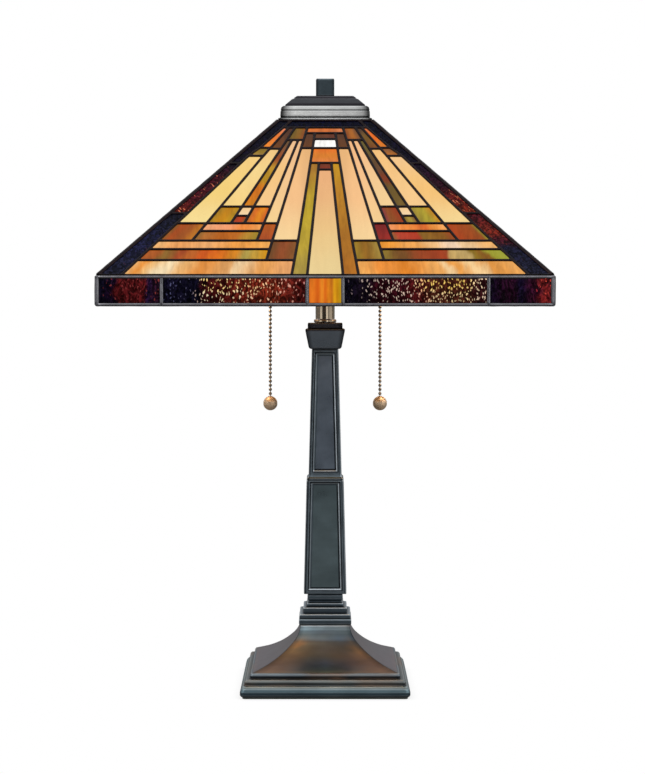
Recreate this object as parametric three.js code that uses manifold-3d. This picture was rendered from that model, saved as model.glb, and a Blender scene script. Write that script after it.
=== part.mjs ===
// Stained glass table lamp in the mission style: a square weighted base with a
// swept foot, a two-stage tapered square column, a twin socket cluster with
// pull-chain switches, and a four-sided leaded glass shade with a straight
// skirt, held by a square cap and finial.
// Millimetres, +Z up. The origin is the middle of the underside of the base.
// The front of the lamp faces -Y.
import * as THREE from 'three';
import { mergeVertices } from 'three/addons/utils/BufferGeometryUtils.js';
import Module from 'manifold-3d';

const wasm = await Module();
wasm.setup();

// ---------------------------------------------------------------- dimensions
const GAP = 0.3;                    // running gap left between separate pieces

// shade
const SHADE_R = 198.9;              // half width at the foot of the sloping panels
const SHADE_Z = 392.7;              // height of that foot
const TOP_R = 44.2;                 // half width where the panels meet the cap
const TOP_Z = 541.6;                // height of that edge
const PANEL_L = Math.hypot(SHADE_R - TOP_R, TOP_Z - SHADE_Z);
const PANEL_TILT = Math.atan2(TOP_Z - SHADE_Z, SHADE_R - TOP_R);
const GLASS_T = 3.0;                // sheet glass
const HIP_K = (SHADE_R - TOP_R) / PANEL_L;      // loss of half width per mm of slope
const LEAD_T = 0.8;                 // height of the solder network above the glass
const LEAD_W = 2.4;                 // width of a solder line
const SKIRT_Z0 = 369.2, SKIRT_Z1 = 391.3;
const RIM_R = 199.6, RIM_IN = 194.8, RIM_CORNER = 3.0;

// base, column and neck, as [half width, height] of a square section
const BASE_OUT = [
  [78.9, 1.8], [79.6, 3.4], [79.6, 6.0], [79.0, 8.6], [77.6, 11.0], [75.9, 11.8],
  [75.2, 13.2], [75.3, 14.0], [74.8, 16.4], [73.6, 17.5], [71.0, 18.0], [70.3, 18.8],
  [70.3, 21.0], [69.3, 22.3], [68.0, 22.6], [62.4, 24.5], [55.2, 27.75], [49.5, 30.8],
  [45.0, 33.5], [41.1, 36.2], [37.9, 38.7], [35.0, 41.2], [32.5, 43.6], [30.1, 46.0],
  [28.4, 48.2], [26.6, 50.5], [24.6, 55.0], [23.8, 60.0],
];
const BASE_IN = [
  [6.0, 60.0], [6.0, 54.0], [19.0, 54.0], [21.0, 48.5], [26.0, 42.0], [33.0, 36.0],
  [42.0, 29.5], [54.0, 23.0], [66.0, 17.0], [71.5, 12.0], [74.0, 9.0], [74.5, 1.8],
];
const COLLAR = [
  [5.6, 60.3], [25.1, 60.3], [25.1, 65.9], [24.9, 66.5], [24.4, 71.1], [20.9, 71.5],
  [20.9, 76.9], [17.7, 77.4], [17.5, 80.5], [15.8, 81.3], [15.6, 82.9], [16.3, 83.4],
  [17.0, 85.0], [17.0, 87.6], [16.0, 89.4], [5.6, 89.4],
];
const LOWER_COL = [[5.6, 89.7], [20.3, 89.7], [20.4, 94.8], [17.9, 196.5], [17.7, 198.9], [5.6, 198.9]];
const UPPER_COL = [
  [5.6, 199.2], [17.6, 199.2], [17.6, 200.4], [17.0, 201.4], [15.9, 201.9], [12.8, 324.6], [5.6, 324.6],
];
const CAPITAL = [
  [5.6, 324.9], [13.8, 324.9], [15.2, 325.6], [15.9, 327.0], [18.9, 342.6], [18.9, 344.0],
  [16.8, 344.4], [16.6, 344.9], [16.6, 349.8], [5.6, 349.8],
];
const PIPE_R = 5.0;                 // 1/8 IP lamp pipe
const PIPE_BORE = 5.4;
const NECK_R = 9.3;
const SOCKET_Z = 410.0;             // height of the sockets' axis
const CHAIN_X = 53.0;               // distance of each pull chain from the axis
const BALL_Z = 272.0, BALL_R = 6.9;
const CHAIN_TOP = 375.2, BELL_Z = 383.6;

// cap and finial
const CAP_OUT = [
  [44.2, 541.6], [43.6, 543.6], [42.5, 544.3], [42.2, 546.0], [41.7, 552.6], [40.3, 554.9],
  [37.8, 556.0], [31.4, 562.1], [29.1, 563.6], [26.9, 565.8],
];
const CAP_IN = [
  [5.7, 565.8], [5.7, 563.3], [26.0, 563.3], [35.6, 554.0], [38.8, 551.6], [39.6, 541.6],
];

// ------------------------------------------------------------------ materials
const mat = (color, roughness, metalness, extra = {}) =>
  new THREE.MeshStandardMaterial({ color, roughness, metalness, ...extra });
const M = {
  bronze: mat(0x2f3a3e, 0.42, 0.75),
  cap: mat(0x2b2e30, 0.4, 0.8),
  brass: mat(0x8c6a3c, 0.32, 0.95),
  steel: mat(0x8f9193, 0.35, 0.95),
  iron: mat(0x3a3a3a, 0.8, 0.5),
  felt: mat(0x23301f, 0.95, 0),
  plastic: mat(0x141312, 0.5, 0),
  glass: mat(0xf3d79a, 0.25, 0, { transparent: true, opacity: 0.85 }),
  skirt: mat(0x5a1d12, 0.3, 0, { transparent: true, opacity: 0.9 }),
  lead: mat(0x2a1d1c, 0.45, 0.7),
  rim: mat(0x6e6b68, 0.4, 0.8),
  bulb: mat(0xfff2d8, 0.2, 0, { transparent: true, opacity: 0.6 }),
  screw: mat(0xb9a778, 0.35, 0.9),
};

// ------------------------------------------------------------------- helpers
// Welds a geometry, drops its flat triangles and turns it right side out.
function closed(geometry) {
  const g = geometry.clone();
  g.deleteAttribute('normal');
  if (g.getAttribute('uv')) g.deleteAttribute('uv');
  if (!g.getIndex()) {
    const n = g.getAttribute('position').count;
    g.setIndex([...Array(n).keys()]);
  }
  const w = mergeVertices(g, 1e-4);
  const p = w.getAttribute('position');
  const src = w.getIndex().array;
  const idx = [];
  const a = new THREE.Vector3(), b = new THREE.Vector3(), c = new THREE.Vector3();
  let volume = 0;
  for (let i = 0; i < src.length; i += 3) {
    const [i0, i1, i2] = [src[i], src[i + 1], src[i + 2]];
    if (i0 === i1 || i1 === i2 || i2 === i0) continue;
    a.fromBufferAttribute(p, i0); b.fromBufferAttribute(p, i1); c.fromBufferAttribute(p, i2);
    volume += a.dot(b.clone().cross(c)) / 6;
    idx.push(i0, i1, i2);
  }
  if (volume < 0) for (let i = 0; i < idx.length; i += 3) [idx[i + 1], idx[i + 2]] = [idx[i + 2], idx[i + 1]];
  const out = new THREE.BufferGeometry();
  out.setAttribute('position', p.clone());
  out.setIndex(idx);
  return out;
}
function toSolid(geometry) {
  const g = closed(geometry);
  const pos = g.getAttribute('position');
  return new wasm.Manifold(new wasm.Mesh({
    numProp: 3,
    vertProperties: new Float32Array(pos.array),
    triVerts: new Uint32Array(g.getIndex().array),
  }));
}
function fromSolid(solid) {
  const m = solid.getMesh();
  const g = new THREE.BufferGeometry();
  g.setAttribute('position', new THREE.BufferAttribute(new Float32Array(m.vertProperties), 3));
  g.setIndex([...m.triVerts]);
  return g;
}
const cut = (g, ...tools) => fromSolid(tools.reduce((s, t) => s.subtract(toSolid(t)), toSolid(g)));
const join = (g, ...others) => fromSolid(others.reduce((s, t) => s.add(toSolid(t)), toSolid(g)));

// A square section swept round the Z axis: points are [half width, height].
function squareTurned(points) {
  const pts = points.map(([h, z]) => new THREE.Vector2(h * Math.SQRT2, z));
  pts.push(pts[0].clone());
  return new THREE.LatheGeometry(pts, 4, Math.PI / 4).rotateX(Math.PI / 2);
}
// A round section about Z: points are [radius, height], closing on itself.
function turned(points, n = 24) {
  const pts = points.map(([r, z]) => new THREE.Vector2(r, z));
  if (points[0][0] !== 0 || points[points.length - 1][0] !== 0) pts.push(pts[0].clone());
  return new THREE.LatheGeometry(pts, n).rotateX(Math.PI / 2);
}
const tube = (ro, ri, z0, z1, n = 24) => turned([[ri, z0], [ro, z0], [ro, z1], [ri, z1]], n);
function rod(r, z0, z1, n = 12) {
  return new THREE.CylinderGeometry(r, r, z1 - z0, n).rotateX(Math.PI / 2).translate(0, 0, (z0 + z1) / 2);
}
function hexNut(across, bore, z0, z1) {
  const s = new THREE.Shape();
  for (let i = 0; i < 6; i++) {
    const a = Math.PI / 6 + i * Math.PI / 3, r = across / 2 / Math.cos(Math.PI / 6);
    if (i) s.lineTo(r * Math.cos(a), r * Math.sin(a)); else s.moveTo(r * Math.cos(a), r * Math.sin(a));
  }
  s.closePath();
  const h = new THREE.Path();
  h.absarc(0, 0, bore, 0, Math.PI * 2, true);
  s.holes.push(h);
  return new THREE.ExtrudeGeometry(s, { depth: z1 - z0, bevelEnabled: false, curveSegments: 6 }).translate(0, 0, z0);
}
function roundedSquare(half, r) {
  const s = new THREE.Shape();
  s.moveTo(-half + r, -half);
  s.lineTo(half - r, -half); s.absarc(half - r, -half + r, r, -Math.PI / 2, 0, false);
  s.lineTo(half, half - r); s.absarc(half - r, half - r, r, 0, Math.PI / 2, false);
  s.lineTo(-half + r, half); s.absarc(-half + r, half - r, r, Math.PI / 2, Math.PI, false);
  s.lineTo(-half, -half + r); s.absarc(-half + r, -half + r, r, Math.PI, 1.5 * Math.PI, false);
  s.closePath();
  return s;
}
const lamp = new THREE.Group();
function add(parent, name, geometry, material) {
  const mesh = new THREE.Mesh(closed(geometry), material);
  mesh.name = name;
  parent.add(mesh);
  return mesh;
}

// --------------------------------------------------------------- base, column
const stand = new THREE.Group();
lamp.add(stand);

add(stand, 'felt_pad', new THREE.BoxGeometry(155, 155, 1.5).translate(0, 0, 0.75), M.felt);

const pipeHole = (z0, z1) => rod(PIPE_BORE, z0, z1, 16);
const CORD_Z = 8.0;
const alongY = (g, z) => g.rotateX(-Math.PI / 2).translate(0, 0, z);
add(stand, 'base_casting',
  cut(squareTurned([...BASE_OUT, ...BASE_IN]), alongY(rod(4.5, 70, 85, 16), CORD_Z)), M.bronze);
// iron slug inside the casting, with the boss that the pipe passes through
add(stand, 'base_weight', cut(
  squareTurned([[0, 9.3], [58, 9.3], [58, 13.5], [52, 17.0], [15, 21.0], [12, 53.7], [0, 53.7]]
    .map(([h, z]) => [Math.max(h, 0.001), z])), pipeHole(5, 60)), M.iron);
add(stand, 'pipe_washer', tube(14, PIPE_BORE, 7.5, 9.0, 16), M.steel);
add(stand, 'pipe_nut', hexNut(17, PIPE_BORE, 2.4, 7.2), M.steel);
add(stand, 'lamp_pipe', tube(PIPE_R, 3.6, 2.0, 403.7, 16), M.steel);
add(stand, 'cord_bushing', alongY(turned(
  [[3.2, 73.8], [4.2, 73.8], [4.2, 79.8], [6.0, 79.8], [6.0, 80.6], [5.2, 81.4], [3.2, 81.4]], 16), CORD_Z), M.plastic);

add(stand, 'stepped_collar', squareTurned(COLLAR), M.bronze);

// sunk panel in each face of a column stage
function sunkPanels(geometry, z0, z1, hw0, hw1, wallLow, wallHigh, zLow, zHigh, depth) {
  const tilt = Math.atan2(wallLow - wallHigh, zHigh - zLow);
  const s = new THREE.Shape();
  s.moveTo(-hw0, 0); s.lineTo(hw0, 0); s.lineTo(hw1, z1 - z0); s.lineTo(-hw1, z1 - z0); s.closePath();
  const at = wallLow + (wallHigh - wallLow) * (z0 - zLow) / (zHigh - zLow);
  const tools = [];
  for (let k = 0; k < 4; k++) {
    tools.push(new THREE.ExtrudeGeometry(s, { depth: 6, bevelEnabled: false })
      .translate(0, 0, -depth)
      .rotateX(Math.PI / 2 - tilt)
      .translate(0, -at, z0)
      .rotateZ(k * Math.PI / 2));
  }
  return cut(geometry, ...tools);
}
add(stand, 'lower_column', sunkPanels(squareTurned(LOWER_COL), 93.2, 196.8, 16.1, 13.7, 20.4, 17.9, 94.8, 196.5, 1.2), M.bronze);
add(stand, 'upper_column', sunkPanels(squareTurned(UPPER_COL), 206.8, 321.0, 12.2, 9.2, 15.9, 12.8, 201.9, 324.6, 1.1), M.bronze);
add(stand, 'column_capital', squareTurned(CAPITAL), M.bronze);
add(stand, 'neck_ring', turned([[PIPE_BORE, 350.1], [10.3, 350.1], [10.8, 351.0], [10.8, 352.4], [10.3, 353.2], [PIPE_BORE, 353.2]], 20), M.brass);
add(stand, 'neck_tube', tube(NECK_R, PIPE_BORE, 353.5, 395.7, 20), M.brass);

// ------------------------------------------------------------ socket cluster
const alongX = (g, side, z) => g.rotateY(side * Math.PI / 2).translate(0, 0, z);
add(stand, 'cluster_body', cut(
  join(rod(14.5, 396.0, 424.0, 20),
    alongX(rod(6.5, 8, 24.0, 16), 1, SOCKET_Z), alongX(rod(6.5, 8, 24.0, 16), -1, SOCKET_Z)),
  rod(PIPE_BORE, 390, 404, 16), rod(PIPE_BORE, 416, 430, 16)), M.brass);

const bodies = { left: -1, right: 1 };
for (const [side, s] of Object.entries(bodies)) {
  add(stand, `socket_cap_${side}`, alongX(turned(
    [[5.0, 24.3], [9.0, 24.3], [13.5, 27.0], [17.2, 33.5], [17.4, 40.0], [16.4, 40.0], [16.2, 34.5], [12.6, 28.6], [8.6, 25.6], [5.0, 25.6]], 16), s, SOCKET_Z), M.brass);
  add(stand, `socket_shell_${side}`, alongX(turned(
    [[16.0, 40.3], [17.0, 40.3], [17.0, 60.0], [16.6, 61.0], [16.6, 80.0], [17.2, 82.5], [16.2, 82.5], [15.7, 80.0], [15.7, 61.0], [16.0, 60.0]], 16), s, SOCKET_Z), M.brass);
  add(stand, `socket_interior_${side}`, alongX(turned(
    [[0, 30.0], [9.0, 30.0], [15.2, 41.0], [15.2, 58.0], [0, 58.0]], 16), s, SOCKET_Z), M.plastic);
  add(stand, `socket_screw_${side}`, alongX(tube(14.4, 13.6, 58.3, 82.0, 16), s, SOCKET_Z), M.screw);
  // bell mouth that guides the pull chain out of the shell
  add(stand, `chain_bell_${side}`, turned(
    [[2.4, 385.0], [4.6, 384.2], [5.0, 384.6], [3.8, 387.4], [3.4, 392.6], [2.4, 392.6]], 12)
    .translate(s * CHAIN_X, 0, 0), M.brass);
}
add(stand, 'riser_rod', rod(PIPE_R, 416.3, 577.0, 12), M.steel);
add(stand, 'seat_nut', hexNut(17, PIPE_BORE, 553.4, 559.6), M.steel);
add(stand, 'seat_washer', tube(19, PIPE_BORE, 559.9, 563.0, 16), M.steel);

// -------------------------------------------------------------- bulbs, chains
for (const [side, s] of Object.entries(bodies)) {
  const bulb = new THREE.Group();
  lamp.add(bulb);
  add(bulb, `bulb_base_${side}`, alongX(turned(
    [[0, 60.0], [4.5, 60.4], [4.8, 61.6], [12.9, 64.6], [12.9, 84.0], [0, 84.0]], 16), s, SOCKET_Z), M.screw);
  // thin glass envelope, open at the neck where it is cemented into its base
  const env = [[12.4, 84.3], [13.6, 91.0], [19.6, 105.5], [23.2, 116.0], [24.0, 124.0],
    [22.4, 134.0], [17.0, 143.2], [9.0, 148.0], [0, 149.1]];
  const inner = env.slice(0, -1).map(([r, x]) => [Math.max(r - 0.9, 0), Math.min(x, 147.9)]).reverse();
  add(bulb, `bulb_glass_${side}`, alongX(turned([...env, [0, 148.2], ...inner], 16), s, SOCKET_Z), M.bulb);

  const pull = new THREE.Group();
  pull.position.set(s * CHAIN_X, 0, 0);
  lamp.add(pull);
  add(pull, `pull_stem_${side}`, turned([[0, BELL_Z], [0.4, BELL_Z], [1.3, BELL_Z + 1.1], [1.3, 392.0], [0, 392.0]], 12), M.brass);
  add(pull, `pull_coupling_${side}`, turned(
    [[0, CHAIN_TOP + 0.3], [0.4, CHAIN_TOP + 0.3], [2.2, CHAIN_TOP + 2.4], [2.2, BELL_Z - 2.4], [0.4, BELL_Z - 0.3], [0, BELL_Z - 0.3]], 12), M.brass);
  add(pull, `pull_chain_${side}`, turned([[0, BALL_Z + BALL_R + 0.3], [1.25, BALL_Z + BALL_R + 0.3], [1.25, CHAIN_TOP - 1.1], [0.35, CHAIN_TOP], [0, CHAIN_TOP]], 8), M.brass);
  const ball = [];
  for (let i = 0; i <= 8; i++) {
    const a = -Math.PI / 2 + i * Math.PI / 8;
    ball.push([i === 0 || i === 8 ? 0 : BALL_R * Math.cos(a), BALL_Z + BALL_R * Math.sin(a)]);
  }
  add(pull, `pull_ball_${side}`, turned(ball, 12), M.brass);
}

// -------------------------------------------------------------- leaded panels
// The leading of one panel, in the panel's plane: X across, S up the slope.
// Each radial line is [S, X] points on the right half; the left half mirrors it.
const LINES = {
  a: [[0, 15.6], [151.8, 5.7]],
  b: [[0, 29.2], [46, 23.8], [173, 11.5], [195, 9.6]],
  c: [[0, 55.2], [203, 16.6]],
  d: [[0, 71.8], [203, 20.4]],
  e: [[0, 96.2], [203, 24.3]],
  f: [[0, 112.4], [203, 28.0]],
  g: [[0, 141.0], [158, 59.0], [173, 50.8], [203, 34.0]],
  h: [[0, 177.4], [68.6, 131.8], [161.8, 70.7], [173.6, 60.0], [213, 32.0]],
};
const HIP_EDGE = 6.4;               // border kept clear along the hip for its came
const lineAt = (name, s) => {
  if (name === 'edge') return SHADE_R - HIP_K * s - HIP_EDGE;
  const p = LINES[name];
  let i = 0;
  while (i < p.length - 2 && s > p[i + 1][0]) i++;
  const [[s0, x0], [s1, x1]] = [p[i], p[i + 1]];
  return x0 + (x1 - x0) * (s - s0) / (s1 - s0);
};
// [inner line, outer line, lower S, upper S]; a minus sign mirrors the line
const LOW = 2.8, HIGH = 212.0;
const CENTRE = [
  ['-a', 'a', LOW, 142.3], ['-a', 'a', 142.3, 151.8], ['-b', 'b', 151.8, 173.0], ['-b', 'b', 173.0, 186.0],
  ['-b', 'b', 186.0, 194.8], ['-c', 'c', 194.8, 203.0], ['-h', 'h', 203.0, HIGH],
];
const SIDE = [
  ['a', 'b', LOW, 151.8], ['b', 'c', 45.7, 173.0], ['b', 'c', 173.0, 194.8], ['b', 'c', 20.5, 45.7],
  ['c', 'd', 68.6, 184.8], ['c', 'd', 45.7, 68.6], ['d', 'e', 91.0, 184.8], ['d', 'e', 68.6, 91.0],
  ['e', 'f', 91.0, 184.8], ['e', 'f', 78.6, 91.0], ['e', 'f', 68.6, 78.6], ['c', 'f', 184.8, 203.0],
  ['f', 'g', 91.0, 172.0], ['f', 'g', 68.6, 91.0], ['f', 'g', 172.0, 203.0], ['g', 'h', 68.6, 161.8],
  ['g', 'h', 161.8, 173.4], ['g', 'h', 173.4, 203.0], ['g', 'h', 45.7, 68.6], ['d', 'g', 58.3, 68.6],
  ['d', 'g', 45.7, 58.3], ['c', 'h', 34.6, 45.7], ['c', 'h', 20.5, 34.6], ['b', 'h', LOW, 20.5],
  ['h', 'edge', LOW, 82.0], ['h', 'edge', 82.0, 151.0], ['h', 'edge', 151.0, HIGH],
];
// Moves every side of a convex outline inwards by d.
function inset(points, d) {
  const n = points.length, lines = [];
  for (let i = 0; i < n; i++) {
    const [x0, y0] = points[i], [x1, y1] = points[(i + 1) % n];
    const l = Math.hypot(x1 - x0, y1 - y0), nx = -(y1 - y0) / l, ny = (x1 - x0) / l;
    lines.push([nx, ny, nx * x0 + ny * y0 + d]);
  }
  return points.map((_, i) => {
    const [a1, b1, c1] = lines[(i + n - 1) % n], [a2, b2, c2] = lines[i];
    const det = a1 * b2 - a2 * b1;
    return [(c1 * b2 - c2 * b1) / det, (a1 * c2 - a2 * c1) / det];
  });
}
function pieceOutline([inner, outer, s0, s1], mirror) {
  const X = (name, s) => (name[0] === '-' ? -lineAt(name.slice(1), s) : lineAt(name, s));
  let p = [[X(inner, s0), s0], [X(outer, s0), s0], [X(outer, s1), s1], [X(inner, s1), s1]];
  if (mirror) p = p.map(([x, s]) => [-x, s]).reverse();
  return inset(p, LEAD_W / 2);
}
function latticeGeometry() {
  const s0 = 2.0, s1 = 212.6, e0 = SHADE_R - HIP_K * s0 - 4.9, e1 = SHADE_R - HIP_K * s1 - 4.9;
  const shape = new THREE.Shape([[-e0, s0], [e0, s0], [e1, s1], [-e1, s1]].map(([x, y]) => new THREE.Vector2(x, y)));
  const outlines = [
    ...CENTRE.map((p) => pieceOutline(p, false)),
    ...SIDE.flatMap((p) => [pieceOutline(p, false), pieceOutline(p, true)]),
  ];
  const plate = new THREE.ExtrudeGeometry(shape, { depth: LEAD_T, bevelEnabled: false }).translate(0, 0, GAP);
  const windows = outlines.map((o) => new THREE.ExtrudeGeometry(
    new THREE.Shape(o.map(([x, y]) => new THREE.Vector2(x, y))), { depth: LEAD_T + 2, bevelEnabled: false })
    .translate(0, 0, GAP - 1));
  return cut(plate, ...windows);
}
const LATTICE = latticeGeometry();
function slabGeometry() {
  const s0 = 5.2, s1 = 213.8, c = 2.9;
  const e0 = SHADE_R - HIP_K * s0 - c, e1 = SHADE_R - HIP_K * s1 - c;
  const shape = new THREE.Shape([[-e0, s0], [e0, s0], [e1, s1], [-e1, s1]].map(([x, y]) => new THREE.Vector2(x, y)));
  return new THREE.ExtrudeGeometry(shape, { depth: GLASS_T, bevelEnabled: false }).translate(0, 0, -GLASS_T);
}
// Came over the hip between two panels: a shallow V section along the hip line.
function hipCameGeometry() {
  const n1 = new THREE.Vector3(0, -Math.sin(PANEL_TILT), Math.cos(PANEL_TILT));
  const n2 = new THREE.Vector3(Math.sin(PANEL_TILT), 0, Math.cos(PANEL_TILT));
  const beta = Math.acos(n1.dot(n2)) / 2;
  const b = n1.clone().add(n2).normalize();
  const foot = new THREE.Vector3(SHADE_R, -SHADE_R, SHADE_Z);
  const head = new THREE.Vector3(TOP_R, -TOP_R, TOP_Z);
  const h = head.clone().sub(foot).normalize();
  const at = (d, e) => [d * Math.cos(beta) + e * Math.sin(beta), -d * Math.sin(beta) + e * Math.cos(beta)];
  const [v1, u1] = at(3.6, 0.35), [v2, u2] = at(3.6, 0.9), [v3, u3] = at(1.9, 1.35);
  const outline = [[v1, u1], [v2, u2], [v3, u3], [0, 1.9], [-v3, u3], [-v2, u2], [-v1, u1], [0, 0.35 / Math.cos(beta)]];
  const t0 = (395.4 - SHADE_Z) / h.z, t1 = (539.8 - SHADE_Z) / h.z;
  const g = new THREE.ExtrudeGeometry(new THREE.Shape(outline.map(([x, y]) => new THREE.Vector2(x, y))),
    { depth: t1 - t0, bevelEnabled: false });
  const basis = new THREE.Matrix4().makeBasis(b.clone().cross(h), b, h);
  basis.setPosition(foot.clone().addScaledVector(h, t0));
  return g.applyMatrix4(basis);
}

const shade = new THREE.Group();
lamp.add(shade);
add(shade, 'shade_cap', squareTurned([...CAP_OUT, ...CAP_IN]), M.cap);
const sides = ['front', 'right', 'back', 'left'];
sides.forEach((name, k) => {
  const turn = new THREE.Group();
  turn.rotation.z = k * Math.PI / 2;
  shade.add(turn);
  const panel = new THREE.Group();
  panel.position.set(0, -SHADE_R, SHADE_Z);
  panel.rotation.x = PANEL_TILT;
  turn.add(panel);
  add(panel, `glass_panel_${name}`, slabGeometry(), M.glass);
  add(panel, `lead_lattice_${name}`, LATTICE, M.lead);
  // front and back skirts run to the corners; the side ones fit between them
  const half = k % 2 ? SHADE_R - GLASS_T - GAP : SHADE_R - 0.4;
  add(turn, `skirt_glass_${name}`, new THREE.BoxGeometry(2 * half, GLASS_T, SKIRT_Z1 - SKIRT_Z0)
    .translate(0, -SHADE_R + GLASS_T / 2, (SKIRT_Z0 + SKIRT_Z1) / 2), M.skirt);
  add(turn, `hip_came_${name}_${sides[(k + 1) % 4]}`, hipCameGeometry(), M.lead);
});
function rim(z0, z1) {
  const s = roundedSquare(RIM_R, RIM_CORNER);
  s.holes.push(new THREE.Path([[-RIM_IN, -RIM_IN], [-RIM_IN, RIM_IN], [RIM_IN, RIM_IN], [RIM_IN, -RIM_IN]].map(([x, y]) => new THREE.Vector2(x, y))));
  return new THREE.ExtrudeGeometry(s, { depth: z1 - z0, bevelEnabled: false, curveSegments: 3 }).translate(0, 0, z0);
}
add(shade, 'skirt_top_rim', rim(391.6, 393.6), M.rim);
add(shade, 'skirt_bottom_rim', rim(366.7, 368.9), M.rim);

// --------------------------------------------------------------------- finial
const top = new THREE.Group();
lamp.add(top);
add(top, 'finial', cut(
  squareTurned([[0.001, 566.1], [7.6, 566.1], [7.8, 567.4], [8.8, 568.0], [8.8, 583.2], [7.9, 584.4], [0.001, 584.4]]),
  rod(PIPE_BORE, 560, 578.0, 16)), M.bronze);

export default lamp;
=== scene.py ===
import math
import bpy
import numpy as np
from mathutils import Matrix, Vector, noise


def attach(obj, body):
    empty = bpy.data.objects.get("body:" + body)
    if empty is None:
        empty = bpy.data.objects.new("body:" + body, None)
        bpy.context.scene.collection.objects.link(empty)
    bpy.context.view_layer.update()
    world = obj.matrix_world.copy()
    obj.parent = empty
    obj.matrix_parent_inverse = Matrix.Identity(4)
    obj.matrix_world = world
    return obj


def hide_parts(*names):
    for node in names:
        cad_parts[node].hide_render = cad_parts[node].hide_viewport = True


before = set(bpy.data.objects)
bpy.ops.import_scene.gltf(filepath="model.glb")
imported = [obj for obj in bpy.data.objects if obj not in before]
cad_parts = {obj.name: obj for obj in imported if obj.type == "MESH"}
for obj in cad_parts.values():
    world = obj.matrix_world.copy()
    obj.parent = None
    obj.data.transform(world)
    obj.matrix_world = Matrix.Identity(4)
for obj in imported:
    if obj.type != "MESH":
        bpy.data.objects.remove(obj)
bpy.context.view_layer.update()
scene = bpy.context.scene
scene.view_settings.view_transform = "Standard"
scene.view_settings.look = "None"

MM = 0.001

# ------------------------------------------------------------------ the camera
CAM_D, CAM_H, CAM_TILT = 1.888, 0.375, math.radians(1.6)
cam_data = bpy.data.cameras.new("camera")
cam_data.sensor_width = 36.0
cam_data.lens = 36.0 * 1953.0 / 774.0
cam_data.shift_y = -0.0461
cam_data.shift_x = -0.0034
cam_data.clip_start, cam_data.clip_end = 0.05, 50.0
camera = bpy.data.objects.new("camera", cam_data)
scene.collection.objects.link(camera)
camera.location = (0.0, -CAM_D, CAM_H)
camera.rotation_euler = (math.radians(90) - CAM_TILT, 0.0, 0.0)
scene.camera = camera

# ---------------------------------------------------------------- small helpers
def lin(rgb):
    """sRGB 0-255 to linear 0-1."""
    c = np.asarray(rgb, float) / 255.0
    return np.where(c <= 0.04045, c / 12.92, ((c + 0.055) / 1.055) ** 2.4)


def linear(rgb):
    return tuple(float(v) for v in lin(rgb)) + (1.0,)


def snoise(x, y, z=0.0):
    return noise.noise(Vector((x, y, z)))


def make_mesh(name, verts, faces, smooth=True, colors=None, attrs=None, sharp_deg=None):
    me = bpy.data.meshes.new(name)
    me.from_pydata([tuple(v) for v in verts], [], [tuple(f) for f in faces])
    me.validate(clean_customdata=False)
    if smooth:
        me.polygons.foreach_set("use_smooth", [True] * len(me.polygons))
    if colors is not None:
        a = me.color_attributes.new("tone", "FLOAT_COLOR", "POINT")
        c = np.ones((len(verts), 4), np.float32)
        c[:, :3] = colors
        a.data.foreach_set("color", c.ravel())
    for key, values in (attrs or {}).items():
        a = me.attributes.new(key, "FLOAT", "POINT")
        a.data.foreach_set("value", np.asarray(values, np.float32))
    me.update()
    ob = bpy.data.objects.new(name, me)
    scene.collection.objects.link(ob)
    if sharp_deg is not None:
        me.set_sharp_from_angle(angle=math.radians(sharp_deg))
    return ob


def weighted(ob):
    m = ob.modifiers.new("wn", "WEIGHTED_NORMAL")
    m.keep_sharp = True
    m.weight = 80
    return ob


class Soup:
    """Gathers several closed shells into one mesh."""

    def __init__(self):
        self.v, self.f, self.c, self.n = [], [], [], 0

    def add(self, verts, faces, color=None):
        verts = np.asarray(verts, float).reshape(-1, 3)
        self.v.append(verts)
        self.f += [tuple(i + self.n for i in f) for f in faces]
        if color is not None:
            color = np.asarray(color, float)
            if color.ndim == 1:
                color = np.tile(color, (len(verts), 1))
            self.c.append(color)
        self.n += len(verts)

    def build(self, name, **kw):
        v = np.concatenate(self.v)
        c = np.concatenate(self.c) if self.c else None
        return make_mesh(name, v, self.f, colors=c, **kw)


def resample(points, step):
    """Points along an open line, no further apart than step."""
    out = [np.asarray(points[0], float)]
    for a, b in zip(points[:-1], points[1:]):
        a, b = np.asarray(a, float), np.asarray(b, float)
        n = max(1, int(math.ceil(np.linalg.norm(b - a) / step)))
        out += [a + (b - a) * k / n for k in range(1, n + 1)]
    return out


def rounded_profile(points, radius, seg=3, closed=False):
    """A profile [(h, z), ...] with every corner turned into a small arc."""
    pts = [np.asarray(p[:2], float) for p in points]
    rad = [p[2] if len(p) > 2 else radius for p in points]
    out, n = [], len(pts)
    for i in range(n):
        if not closed and i in (0, n - 1):
            out.append(pts[i])
            continue
        a, b, c = pts[i - 1], pts[i], pts[(i + 1) % n]
        u, w = a - b, c - b
        lu, lw = np.linalg.norm(u), np.linalg.norm(w)
        u, w = u / lu, w / lw
        cosang = float(np.clip(np.dot(u, w), -1, 1))
        ang = math.acos(cosang)
        if rad[i] <= 0 or ang > math.radians(168):
            out.append(b)
            continue
        cut = min(rad[i] / math.tan(ang / 2), lu * 0.45, lw * 0.45)
        r = cut * math.tan(ang / 2)
        p0, p1 = b + u * cut, b + w * cut
        centre = b + (u + w) / np.linalg.norm(u + w) * (r / math.sin(ang / 2))
        a0 = math.atan2(*(p0 - centre)[::-1])
        a1 = math.atan2(*(p1 - centre)[::-1])
        d = (a1 - a0 + math.pi) % (2 * math.pi) - math.pi
        for k in range(seg + 1):
            t = a0 + d * k / seg
            out.append(centre + r * np.array([math.cos(t), math.sin(t)]))
    return out


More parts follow.
